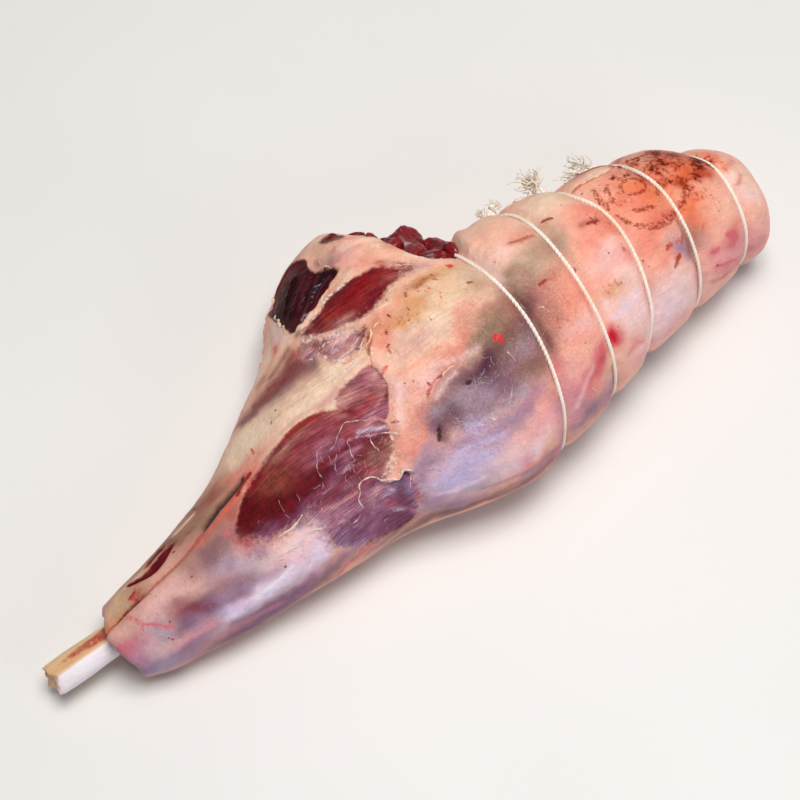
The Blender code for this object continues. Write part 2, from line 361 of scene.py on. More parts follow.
@dataclass
class SkinMap:
    """The skin laid out flat: each vertex's place along and round the leg, in millimetres."""

    x: np.ndarray
    degrees: np.ndarray
    s: np.ndarray = field(init=False)
    grain: np.ndarray = field(init=False)
    strayed: tuple[np.ndarray, np.ndarray] = field(init=False)

    def __post_init__(self) -> None:
        """Works out how far round the skin each vertex is, and how soft paint strays there."""
        self.s = arc(self.x, self.degrees)
        flat = self.flat()
        self.strayed = tuple(layered(flat, layers) for layers in STRAYING)

    def flat(self) -> np.ndarray:
        """The places on the flat map as points."""
        return np.stack((self.x, self.s, np.zeros(self.x.shape)), axis=1)

    def near(self, points: np.ndarray, margin: float) -> np.ndarray:
        """Which vertices lie within a margin of a path's box."""
        low, high = points.min(0) - margin, points.max(0) + margin
        return np.flatnonzero((self.x > low[0]) & (self.x < high[0]) & (self.s > low[1]) & (self.s < high[1]))

    def region(self, outline: tuple[Place, ...]) -> np.ndarray:
        """How deep each vertex lies inside an outline in millimetres, less than 0 outside."""
        points = rounded(outline, closed=True)
        depth = np.full(self.x.shape, -REACH)
        chosen = self.near(points, REACH)
        x, s = self.x[chosen], self.s[chosen]
        inside = np.zeros(len(chosen), bool)
        for (x0, s0), (x1, s1) in zip(points, np.roll(points, -1, axis=0)):
            if s0 != s1:
                inside ^= ((s0 > s) != (s1 > s)) & (x < (x1 - x0) * (s - s0) / (s1 - s0) + x0)
        gap = np.minimum(to_path(x, s, points, closed=True)[0], REACH)
        depth[chosen] = np.where(inside, gap, -gap)
        return depth

    def stroke(self, path: tuple[Place, ...], half: float) -> np.ndarray:
        """How deep each vertex lies inside a tapering stroke: 1 on its line, 0 at its edge."""
        points = rounded(path)
        depth = np.full(self.x.shape, -REACH)
        chosen = self.near(points, 6 * half)
        gap, share = to_path(self.x[chosen], self.s[chosen], points)
        wide = half * (0.45 + 0.55 * np.sqrt(np.sin(math.pi * np.clip(share, 0.02, 0.98))))
        depth[chosen] = np.maximum(1 - gap / wide, -REACH)
        return depth

    def crest(self, path: tuple[Place, ...], half: float, margin: float = 0, stray: float = 0,
              least: float = 0.25, rise: float = 5) -> np.ndarray:
        """A soft stroke, 1 on its line.

        Args:
            path: Its line.
            half: Its half width.
            margin: How far beyond its own reach to look for vertices.
            stray: How much of the straying of soft paint it takes on.
            least: Its strength at its two ends.
            rise: How fast it rises from its ends.

        Returns:
            Its strength at each vertex.
        """
        points = rounded(path)
        made = np.zeros(self.x.shape)
        chosen = self.near(points, 3 * half + margin)
        x, s = (self.x + stray * self.strayed[0])[chosen], (self.s + stray * self.strayed[1])[chosen]
        gap, share = to_path(x, s, points)
        ends = np.minimum(1, least + rise * np.minimum(share, 1 - share))
        made[chosen] = ends * np.exp(-((gap / half) ** 2))
        return made

    def sweep(self, path: tuple[Place, ...], half: float) -> np.ndarray:
        """A stroke of soft paint."""
        return self.crest(path, half, 6, min(0.5, half / 8), 0.3, 6)

    def dab(
        self, x: float, degrees: float, along: float, around: float, share: float = 1, lean: float = 0
    ) -> np.ndarray:
        """A spot of soft paint, with its radii in millimetres and its lean in degrees."""
        turned = math.radians(lean)
        size = min(1.0, math.sqrt(along * around) / 9)
        dx = self.x - x + size * self.strayed[0]
        ds = self.s - float(arc(x, degrees)) + size * self.strayed[1]
        u = (dx * math.cos(turned) + ds * math.sin(turned)) / along
        v = (ds * math.cos(turned) - dx * math.sin(turned)) / around
        return share * np.exp(-(u * u + v * v))

    def dabs(self, rows: tuple) -> np.ndarray:
        """Many spots, added up."""
        return sum(self.dab(*row) for row in rows)

    def patches(self, rows: tuple) -> np.ndarray:
        """Many spots, where the strongest counts."""
        return np.max([self.dab(*row) for row in rows], axis=0)

    def toned(self, ground: Hue, dabs: tuple, strokes: tuple = ()) -> np.ndarray:
        """A soft painting: a ground colour with dabs, then strokes, laid over it one by one.

        Args:
            ground: The ground colour.
            dabs: Each dab's place, turn, radii and colour, with any share and lean.
            strokes: Each stroke's path, half width, colour and share.

        Returns:
            One colour for each vertex.
        """
        colour = np.tile(np.array(ground.light), (len(self.x), 1))
        for x, degrees, along, around, hue, *share_and_lean in dabs:
            weight = self.dab(x, degrees, along, around, *share_and_lean)[:, None]
            colour += weight * (np.array(hue.light) - colour)
        for path, half, hue, share in strokes:
            weight = share * self.sweep(path, half)[:, None]
            colour += weight * (np.array(hue.light) - colour)
        return colour


def eased(value: np.ndarray, low: float, high: float) -> np.ndarray:
    """0 below low, 1 above high, and smooth between."""
    t = np.clip((value - low) / (high - low), 0, 1)
    return t * t * (3 - 2 * t)


def lumps(points: np.ndarray, size: float, start: float, stretch: Tint = (1, 1, 1)) -> np.ndarray:
    """Smooth noise from -1 to 1 at each point, with lumps about as big as size."""
    scaled = points / size * np.asarray(stretch) + start
    return np.fromiter((noise.noise(p) for p in scaled.tolist()), float, len(scaled))


def layered(points: np.ndarray, layers: tuple) -> np.ndarray:
    """Several sizes of lumps together, each with its height."""
    return sum(height * lumps(points, size, start) for height, size, start in layers)


# ---------------------------------------------------------------- what is painted on the skin

# Soft colours of the fat and the silverskin, with some painted sheen and painted shade among them: place,
# turn, radii along and round, colour, any share and lean
FAT_DABS = (
    # the shank
    (60, 108, 70, 60, BLUSH), (110, 45, 80, 20, SAND), (50, 50, 26, 22, SAND), (72, 96, 20, 8, PALE, 0.7),
    (44, 132, 8, 11, ORCHID), (43, 117, 6, 6, ROSE, 0.6), (44, 166, 13, 11, HAZE),
    (60, 157, 13, 5, HEATHER, 0.9), (80, 153, 16, 6, MAUVE, 0.9), (66, 171, 20, 6, HAZE, 0.8),
    (110, 176, 34, 8, DUSK, 0.9), (132, 176, 24, 7, HEATHER, 0.9), (112, 164, 14, 3, BRUISE, 0.6, -6),
    (88, 128, 17, 7, HEATHER, 0.9, 36), (82, 120, 11, 4.6, BRUISE, 1, 42), (62, 124, 7, 5.5, SILVER, 1, 20),
    # painted highlight: the frost and lilac dabs on this line lay a sheen of light along the shank's
    # silverskin
    (112, 150, 22, 6.5, FROST), (122, 152, 12, 4.6, FROST), (98, 142, 10, 4, LILAC, 0.8, 20),
    (110, 134, 18, 2.6, HEATHER, 0.8, 6), (104, 96, 9, 9, HEATHER, 0.95, 20), (112, 110, 7, 6, HAZE, 0.8, 30),
    (118, 118, 9, 5, SILVER, 0.9, 20), (128, 122, 9, 5, PALE, 0.7), (106, 60, 12, 5, STONE, 0.95),
    (125, 48, 12, 8, BRICK, 0.65), (118, 74, 12, 3.4, CLAY, 0.9, -4), (132, 71, 14, 3.2, CORAL, 0.9, -4),
    (66, 44, 8, 4, CREAM, 0.9),
    # beside the great muscle
    # painted highlight: the pale and frost dabs at 146 to 148 mm are a sheen of light on the silverskin
    # beside the great muscle
    (122, 126, 10, 6, SILVER, 0.7), (148, 126, 22, 6, PALE, 0.95, 4), (146, 146, 24, 10, FROST, 0.8, 4),
    (140, 161, 16, 3, ORCHID, 0.8, -4), (142, 176, 26, 6, MAUVE, 0.9), (136, 168, 14, 4, HEATHER, 0.8),
    (166, 168, 18, 5, HAZE, 0.7, 6), (172, 178, 18, 5, ROSE, 0.8, 4), (210, 184, 36, 8, DUSK, 0.7),
    (128, 114, 6, 4, HAZE, 0.7, 20), (162, 50, 22, 16, CREAM, 1, 30), (142, 58, 9, 8, CORAL, 0.75, 20),
    (156, 64, 13, 4, CORAL, 0.55, 6), (146, 67, 9, 3, SCARLET, 0.65),
    # the tendon sheet and the hollow beside it
    (190, 70, 24, 8, CREAM, 1, 26), (214, 75, 20, 6, CREAM, 1, 5), (197, 28, 24, 13, CREAM, 1, 40),
    (203, 36, 3.4, 5, CORAL, 0.9, 40), (207, 30, 4, 6, RUSSET, 0.4), (214, 32, 5, 10, ASH, 0.8, 10),
    (222, 65.5, 9, 1.8, FROST, 0.8, 14),
    # the flap
    (262, 27, 14, 6, CREAM, 0.8), (240, 20, 14, 6, UMBER, 0.6), (270, 54, 8, 4, SALMON, 0.7),
    (266, 45, 7, 5, PALE, 0.8), (282, 42, 6, 10, CREAM, 0.8), (262, 38, 7, 4, ASH, 0.7),
    (290, 62.5, 8, 3, MAUVE, 0.6),
    # the thigh
    (222, 122, 7, 9, SALMON, 0.7), (280, 86, 60, 22, CREAM), (252, 92, 18, 7, PEACH, 0.7),
    (252, 102, 15, 5, SALMON, 0.8), (276, 97, 22, 5, SALMON, 0.9, -4), (292, 90, 16, 5, SALMON, 0.7, -8),
    (240, 113, 12, 5, SALMON, 0.7), (262, 78, 22, 4, OCHRE, 0.75), (280, 73, 15, 4, OCHRE, 1, -6),
    (292, 69, 9, 2.6, OCHRE, 0.8, -6), (285, 70, 10, 1.6, RUSSET, 0.7, -4), (306, 68, 10, 5, BUTTER, 0.9, -8),
    (300, 80, 18, 6, BUTTER, 0.7), (311, 76, 7, 10, ASH, 0.6), (247, 80, 8, 3.4, SALMON, 0.9),
    (254, 76, 8, 2.4, CORAL, 0.35), (282, 118, 36, 14, HEATHER), (280, 110, 26, 8, DUSK, 1, -4),
    (304, 106, 22, 12, UMBER, 1, -4), (300, 98, 20, 5, STONE, 0.9, -6), (283, 110, 9, 5, GRAPE, 1, -10),
    (254, 118, 8, 7, GRAPE, 0.95, 14), (246, 122, 7, 6, DUSK, 0.9, 20), (242, 128, 4, 4, GRAPE, 0.6, 20),
    (262, 126, 14, 6, DUSK, 0.7), (288, 125, 14, 5, DUSK, 0.7), (306, 124, 14, 8, UMBER, 0.8),
    (316, 110, 7, 16, DUSK, 0.9), (327, 104, 8, 14, DUSK), (330, 97, 7, 6, UMBER, 0.8),
    # the lilac dabs at 240 mm on this line and 256 mm on the next are the silverskin's own lilac-grey with a
    # painted sheen of light laid in
    (324, 122, 6, 7, UMBER, 0.8), (240, 152, 20, 15, LILAC), (230, 136, 10, 6, HAZE, 0.9),
    (222, 142, 5, 9, HAZE, 0.8), (256, 146, 20, 10, LILAC, 0.9), (282, 138, 22, 6, HAZE, 0.8),
    (300, 135, 14, 5, MAUVE, 0.6), (254, 135, 14, 5, HAZE, 0.7), (282, 155, 20, 7, PALE, 1, 4),
    (276, 160, 18, 5, FROST, 0.7), (302, 150, 16, 8, PINK), (310, 142, 10, 5, SALMON, 0.7),
    (279, 161, 6, 8, ROSE, 0.6), (236, 170, 16, 6, HAZE, 0.9), (286, 172, 14, 6, ROSE, 0.5),
    (245, 180, 30, 6, DUSK, 0.8), (290, 182, 30, 6, ROSE, 0.8), (312, 166, 6, 12, ORCHID, 0.7),
    # between the first and second loops
    (344, 116, 13, 12, SALMON), (342, 129, 13, 6, SALMON, 0.9), (348, 121, 8, 6, PEACH, 0.6),
    (334, 92, 14, 7, ASH), (349, 90, 9, 9, ASH, 0.9), (340, 103, 10, 4, CLAY, 0.6),
    (326, 88, 7, 5, STONE, 0.6), (346, 73, 8, 6, SALMON, 0.8), (330, 76, 8, 6, PALE, 0.6),
    (338, 44, 10, 9, CREAM, 0.6), (326, 155, 6, 16, ORCHID, 0.8), (332, 168, 12, 12, HEATHER, 0.9),
    (322, 134, 4, 9, ROSE, 0.5), (336, 149, 10, 5, ROSE, 0.9, -8), (346, 147, 8, 6, CHERRY, 0.9, -20),
    (350, 143, 4, 5, CRIMSON, 0.5), (348, 170, 7, 12, MAUVE, 0.9),
    # between the second and third loops
    (374, 62, 22, 18, CREAM), (388, 60, 7, 10, BUTTER, 0.6), (360, 92, 6, 12, ASH, 0.8),
    (380, 88, 14, 8, SALMON), (385, 88, 8, 6, CORAL, 0.45), (378, 103, 16, 8, SALMON),
    (391, 100, 6, 9, CORAL, 0.6), (376, 115, 17, 6, SALMON, 0.8), (372, 126, 10, 3.4, OCHRE, 0.8),
    (390, 117, 5, 5, CORAL, 0.7), (378, 144, 17, 11, PALE), (376, 134, 14, 4, PALE, 0.9),
    (374, 157, 8, 5, ROSE, 0.5), (384, 171, 16, 7, PINK, 0.9), (359.5, 145, 3.4, 5, CRIMSON, 1, 10),
    (358, 142, 2.2, 4, CRIMSON, 1, 10), (362, 148, 4, 5, CHERRY, 0.6),
    # between the third and fourth loops
    (412, 152, 20, 14, PALE), (406, 162, 14, 12, FROST, 0.5), (410, 174, 14, 6, PINK, 0.8),
    (430, 160, 4, 14, ROSE, 0.9), (412, 130, 14, 7, SALMON, 0.9), (406, 118, 9, 7, SALMON),
    (418, 96, 18, 18, TANGERINE, 0.95), (408, 84, 10, 10, TANGERINE, 0.6), (420, 112, 13, 4, CORAL, 0.7),
    (426, 131, 8, 6, HAZE, 0.95, 10), (431, 136, 4, 6, DUSK, 0.7, 10), (422, 122, 9, 3.4, BLUSH, 0.8),
    (408, 58, 11, 6, CREAM), (418, 43, 8, 5, SCARLET, 0.6), (410, 44, 6, 6, BRICK, 0.5),
    (430, 60, 4, 8, CLAY, 0.8),
    # between the fourth and fifth loops
    (440, 134, 7, 9, BLUSH, 0.9), (448, 124, 13, 8, SALMON), (448, 113, 12, 5, TANGERINE, 0.7),
    (462, 126, 13, 10, PEACH, 0.9), (452, 90, 22, 12, TANGERINE), (455, 66, 18, 14, RUSSET, 0.7),
    (455, 152, 18, 10, SALMON, 0.7), (458, 168, 20, 10, ROSE, 0.8), (447, 147, 5, 2.4, CHERRY, 0.75),
    (463, 146, 5, 6.5, CHERRY, 0.95, 20), (470, 158, 6, 8, ROSE, 0.6),
    # the butt
    (488, 124, 9, 9, PALE, 0.9), (488, 140, 10, 10, PEACH, 0.9), (484, 172, 8, 8, ROSE),
    (482, 84, 5, 12, TANGERINE, 0.8), (518, 110, 7, 16, PALE, 0.6), (514, 66, 6, 14, BLUSH, 0.6),
    # deeper tones of the shank
    (78, 94, 24, 12, BLUSH, 0.5), (75, 130, 8, 6, HEATHER, 0.9), (76, 117, 8, 6, ROSY, 0.6, 30),
    (108, 127, 9, 5, HAZE, 0.8, 10), (110, 86, 14, 8, TAUPE), (112, 98, 10, 6, TAUPE, 0.6),
    (91, 88, 5, 6, TAUPE, 0.5), (128, 80, 8, 4, CLAY, 0.9, -20), (125, 99, 4, 8, ROSY, 0.7),
    (98, 76, 16, 4, TAN, 0.7), (50, 72, 8, 3, TAN, 0.9), (42, 79, 6, 3, CLAY, 0.8),
    (60, 69, 5, 4, BRICK, 0.95), (92, 58, 6, 3, UMBER, 0.9), (78, 137, 8, 5, HAZE, 0.5),
    (112, 42, 30, 14, FAWN), (90, 42, 7, 9, UMBER, 0.9), (124, 45, 11, 6, BRICK, 0.4),
    (72, 34, 16, 8, TAN, 0.6), (100, 37, 7, 3, BLUSH, 0.4),
    # the dark far edge: the silverskin's own mauve, darkened further as painted shade where the side turns
    # down away from the light
    (106, 178, 34, 6, HEATHER, 0.9), (152, 177, 22, 7, TAUPE, 0.9), (202, 174, 18, 6, DUSK, 0.8),
    (284, 178, 32, 6, TAUPE, 0.9), (300, 171, 12, 5, MALLOW, 0.8), (226, 162, 8, 6, HAZE, 0.8),
    (250, 163, 10, 4, SILVER, 0.8), (314, 150, 7, 12, MAUVE, 0.5), (186, 178, 8, 4, MALLOW, 0.5),
    # deeper tones of the thigh
    (231, 129, 6, 6, HAZE, 0.7), (240, 121, 4, 4, HEATHER, 0.8), (262, 130, 8, 6, LILAC, 0.8),
    (294, 128, 5, 4, SILVER, 0.6), (330, 117, 9, 9, TAN, 0.7), (317, 97, 8, 11, TAN, 0.8),
    (331, 94, 8, 5, TAN, 0.5), (312, 82, 10, 5, SAND, 0.8), (234, 95, 7, 8, BLUSH, 0.8),
    (260, 86, 14, 4, BLUSH, 0.6), (259, 73, 12, 2.4, SALMON, 0.6), (222, 111, 3, 8, CLAY, 0.4),
    (301, 66, 5, 3, OCHRE, 0.5), (258, 43, 4, 5, TAUPE, 0.8), (264, 45, 4, 3, CORAL, 0.4),
    (258, 30, 5, 5, SAND, 0.8), (216, 51, 3, 2.6, UMBER, 0.9), (217, 57, 4, 3, BLUSH, 0.8),
    (210, 34, 4, 10, PALE, 0.8), (288, 50, 4, 4, CLAY, 0.6), (198, 36, 6, 3, CORAL, 0.4),
    (186, 34, 6, 4, TAN, 0.7),
    # deeper tones of the roll
    (350, 92, 10, 14, TAN, 0.55), (354, 76, 6, 7, SAND, 0.7), (345, 142, 6, 4, ROSE, 0.9),
    (359.5, 143, 2.6, 4.5, CRIMSON, 1, 10), (396, 139, 5, 8, CORAL, 0.4), (468, 142, 5, 5, CORAL, 0.6),
    (363, 128, 4, 3, PALE, 0.8), (440, 117, 10, 8, TANGERINE, 0.8), (437, 129, 6, 8, TAN, 0.8),
    (446, 98, 7, 5, RUST, 0.8), (465, 100, 7, 5, RUST, 0.8), (432, 80, 5, 12, RUST, 0.5),
    (420, 69, 7, 5, RUST, 0.4), (403, 62, 6, 6, TANGERINE, 0.5), (427, 57, 5, 4, BRICK, 0.8),
    (438, 46, 6, 6, CLAY, 0.8), (420, 47, 12, 5, CLAY, 0.4), (484, 106, 5, 5, PALE, 0.6),
    # lighter places, among them dabs of painted sheen
    (410, 166, 40, 9, PALE, 0.6), (465, 160, 24, 12, PINK, 0.6), (486, 165, 8, 14, PINK, 0.6),
    (345, 127, 12, 5, PALE, 0.5), (384, 126, 10, 8, PALE, 0.7), (378, 112, 15, 6, PALE, 0.6),
    (252, 100, 9, 5, PALE, 0.7), (405, 83, 6, 8, PEACH, 0.9), (412, 96, 7, 6, SALMON, 0.7),
    (450, 79, 6, 4, CORAL, 0.6), (444, 87, 5, 4, SALMON, 0.8), (480, 82, 4, 8, SALMON, 0.8),
    (490, 105, 6, 12, CREAM, 0.5), (265, 116, 12, 5, SILVER, 0.6), (272, 122, 10, 4, SILVER, 0.5),
    (282, 127, 8, 3, SILVER, 0.6), (306, 114, 10, 6, SILVER, 0.4), (248, 116, 5, 4, SILVER, 0.5),
    (378, 86, 8, 5, PEACH, 0.5), (54, 165, 8, 16, LILAC, 0.4), (54, 145, 8, 7, PALE, 0.5),
    # the frost dab at 114 mm is more of the shank's painted sheen
    (60, 114, 5, 4, SILVER, 0.8), (114, 142, 10, 4, FROST, 0.5), (322, 165, 6, 10, PINK, 0.5),
    # the frost dab at 156 mm is more of that painted sheen beside the great muscle
    (282, 173, 10, 4, SILVER, 0.5), (156, 148, 8, 8, FROST, 0.6), (222, 156, 5, 12, SILVER, 0.6),
    (50, 52, 10, 12, BUTTER, 0.7), (152, 45, 12, 14, CREAM, 0.7, 20), (148, 58, 9, 4, SALMON, 0.7, 10),
    (138, 50, 6, 5, SALMON, 0.5), (324, 48, 4, 6, CREAM, 0.9), (284, 73.5, 8, 2, CREAM, 0.8),
    # and darker ones
    (252, 37, 4, 4, TAUPE, 0.8), (276, 58, 4, 1.6, CLAY, 0.9), (468, 76, 8, 12, RUST, 0.6),
    (460, 97, 8, 5, RUST, 0.5), (66, 59, 4, 2, CLAY, 0.8), (42, 38, 6, 6, MALLOW, 0.5),
    (462, 151, 6, 5, CHERRY, 0.5), (104, 107, 9, 4, SILVER, 0.6), (120, 94, 4, 5, TAUPE, 0.7),
    (92, 121, 6, 5, HEATHER, 0.7), (100, 121, 6, 4, TAUPE, 0.6), (72, 128, 5, 5, HEATHER, 0.6),
    (112, 128, 8, 4, TAUPE, 0.6, 10), (83, 115, 5, 5, BRUISE, 0.4), (153, 121, 4, 3, HAZE, 0.9),
    (105, 155, 12, 5, HAZE, 0.6), (135, 156, 8, 4, SILVER, 0.7), (257, 157, 6, 4, SILVER, 0.6),
    (336, 157, 6, 4, ROSE, 0.5), (432, 79, 3, 6, BRICK, 0.8), (432, 86, 4, 4, RUST, 0.6),
    (318, 98, 6, 8, UMBER, 0.4), (306, 93, 7, 3, TAN, 0.8), (445, 100, 3, 5, RUSTY, 0.5),
)
# Broad tones of the side that doesn't show: size in metres, where the noise starts, colour, share
UNSEEN_TONES = (
    (0.110, 5.1, CREAM, 0.9), (0.060, 14.7, BLUSH, 0.8), (0.052, 27.3, HAZE, 0.65),
    (0.040, 33.9, SALMON, 0.6), (0.034, 41.3, PALE, 0.8), (0.026, 58.1, MAUVE, 0.45),
    (0.020, 63.7, ROSE, 0.45), (0.018, 77.9, BUTTER, 0.5), (0.011, 82.3, CLAY, 0.35),
    (0.008, 96.1, CREAM, 0.4),
)
# Soft colours of the bare flesh, with painted shade in one hollow
FLESH_DABS = (
    # the great muscle
    (178, 90, 18, 8, ROSY, 1, 12), (194, 90, 14, 6, ROSY, 1, 16), (180, 80, 12, 3, ROSY, 0.9, 12),
    (142, 97, 26, 8, WINE, 1, -2), (170, 106, 26, 5, WINE, 0.9), (158, 90, 13, 4.4, DRIED, 0.95, 2),
    (152, 82, 10, 4, DRIED, 0.95, 2), (134, 90, 8, 6, WINE), (145, 101, 18, 5, WINE),
    (146, 76, 9, 1.8, BLOOD, 0.8, 4), (144, 112, 18, 4, PLUM, 0.85, 4), (134, 108, 7, 3.4, MAUVE, 0.5, 20),
    (158, 116, 10, 3, PLUM, 0.7), (186, 108, 12, 3.6, PLUM, 0.8),
    # the torn patch beside it
    (208, 122, 10, 8, TAN), (198, 124, 8, 3.4, CLAY, 0.9), (216, 124, 5, 6, TAN, 0.8),
    (202, 109, 7, 2.6, BARK, 0.8), (214, 113, 2.4, 3.4, BARK, 0.8), (206, 117, 2, 5, UMBER, 0.8),
    (190, 153, 32, 24, VIOLET), (172, 134, 12, 7, MALLOW, 0.9, 10), (198, 142, 14, 8, MALLOW, 0.95),
    (184, 136, 9, 4, MALLOW, 0.7), (200, 136, 8, 3, BLUSH, 0.4), (202, 148, 4, 5, ROSE, 0.4),
    (178, 158, 10, 4, PLUM, 0.8), (198, 168, 16, 4.6, PLUM), (206, 173, 12, 3, GRAPE, 0.8),
    # painted shade: the near-black dab at 216 mm darkens the hollow pressed in beside the great muscle
    (209, 150, 5, 8, PLUM, 0.9, -10), (211, 141, 5, 4, GRAPE), (216, 135, 3, 2.6, SOOT, 0.9),
    (215, 163, 6, 6, VIOLET, 0.8), (218, 153, 2.2, 6, ROSE, 0.6), (188, 150, 7, 3, PLUM, 0.5, 20),
    (184, 144, 5, 2, PLUM, 0.6, 10),
    # the muscle by the knee
    (219, 93, 16, 14, ROSY), (226, 90, 7, 3, CLAY, 0.6, 10), (214, 84, 10, 3, BLUSH, 0.6, 8),
    (229, 86, 7, 5, MALLOW, 0.5), (225, 99, 5, 4, MALLOW, 0.7), (207, 82, 6, 2, BLUSH, 0.6, 10),
    (216, 97, 6, 3, MALLOW, 0.6, 30),
    # the flap
    (278, 65, 9, 3, ROSY, 0.8), (278, 61, 9, 1.4, BRICK, 0.8), (228, 71, 11, 8, BLUSH),
    (232, 70, 8, 3, MALLOW, 0.8, 10), (230, 67, 7, 1.2, MAROON, 0.6, 10), (222, 70, 4, 3, ROSY, 0.7),
    (212, 60, 8, 5, BLUSH), (211, 61, 5, 3, MALLOW, 0.7), (226, 34, 30, 24, COAL), (248, 46, 18, 9, COAL),
    (240, 51, 12, 1.6, WINE, 0.6, -6), (236, 38, 14, 2, WINE, 0.4, 4), (224, 30, 8, 4, WINE, 0.35, 10),
    (300, 45, 18, 30, WINE), (306, 50, 6, 12, CRIMSON, 0.6), (272, 32, 8, 7, UMBER),
    # the cuts of the shank
    (78, 52, 24, 11, WINE), (88, 54, 8, 5, MAROON, 0.7), (78, 43, 5, 3, BLOOD, 0.8),
    (72, 42, 4, 4, CLAY, 0.8),
    # last touches
    (168, 79, 11, 2.4, TAN, 0.95, 4), (186, 79, 7, 2.4, CLAY, 0.6, 10), (198, 80, 6, 2.6, BLUSH, 0.7, 14),
    (165, 130, 7, 9, MALLOW, 0.8), (160, 130, 4, 10, SILVER, 0.5), (169, 149, 6, 6, HAZE, 0.7),
    (216, 146, 4, 9, HAZE, 0.8), (180, 114, 6, 3, MALLOW, 0.5), (186, 121, 5, 3, MALLOW, 0.6),
    (174, 100, 10, 3, WINE, 0.7), (198, 121, 5, 3, BRUISE, 0.6), (240, 66, 6, 1.6, BLUSH, 0.7),
    (276, 65, 6, 1.6, BLUSH, 0.6), (252, 63, 26, 6, BRICK, 0.7), (236, 61, 8, 3, BRICK, 0.7, 10),
    (256, 61, 12, 2, BLOOD, 0.8), (270, 64.5, 10, 3, BRICK, 0.7), (168, 161, 5, 4, SILVER, 0.8),
    (176, 164, 8, 4, HAZE, 0.7), (206, 85, 5, 3, BLUSH, 0.5), (233, 86, 4, 5, BLUSH, 0.6),
    (188, 93, 8, 3, MALLOW, 0.5), (213, 100, 6, 3, PINK, 0.6, 30), (196, 107, 7, 3, MALLOW, 0.5),
    (206, 140, 9, 5, HAZE, 0.5), (304, 46, 8, 8, CRIMSON, 0.5), (216, 116, 3, 5, TAN, 0.6),
)
# Long soft strokes of colour on the flesh: path, half width in millimetres, colour, share
FLESH_STROKES = (
    (((172, 74.6), (183, 76.2), (194, 79), (204, 84), (212, 91)), 1.4, BLOOD, 0.8),
    (((226, 48), (236, 45.6), (247, 42)), 0.7, BRUISE, 0.6),
    (((228, 51), (240, 48.6), (252, 46.6)), 0.8, BRUISE, 0.6),
    (((224, 44), (234, 41.4), (246, 38)), 0.6, BRUISE, 0.7),
    (((222, 40), (233, 37), (245, 34)), 0.6, BRUISE, 0.6),
    (((138, 78), (131, 83), (126, 91)), 2.4, WINE, 1.0),
    (((170, 81), (182, 85), (196, 90)), 1.0, MAROON, 0.5),
    (((176, 96), (186, 96.5), (197, 99)), 1.3, MAUVE, 0.6),
    (((184, 103), (194, 104), (204, 108)), 1.0, MALLOW, 0.6),
    (((205, 99), (213, 103), (221, 108)), 1.4, FROST, 0.55),
    (((166, 124), (176, 128), (190, 128)), 1.3, BLUSH, 0.4),
    (((163, 146), (172, 143), (182, 141), (192, 144)), 1.5, PLUM, 0.45),
    (((196, 156), (204, 160), (211, 168)), 1.6, PLUM, 0.8),
    (((204, 152), (210, 158), (216, 168)), 1.2, MALLOW, 0.7),
    (((176, 164), (186, 168), (197, 172)), 1.4, BRUISE, 0.5),
    (((207, 95), (215, 92), (226, 88)), 0.9, BRICK, 0.5),
    (((212, 99), (220, 96), (229, 92)), 0.8, BLUSH, 0.4), (((222, 74), (230, 75), (238, 74)), 0.9, PALE, 0.7),
    (((219, 66), (227, 69), (238, 71)), 1.2, PALE, 0.5),
)
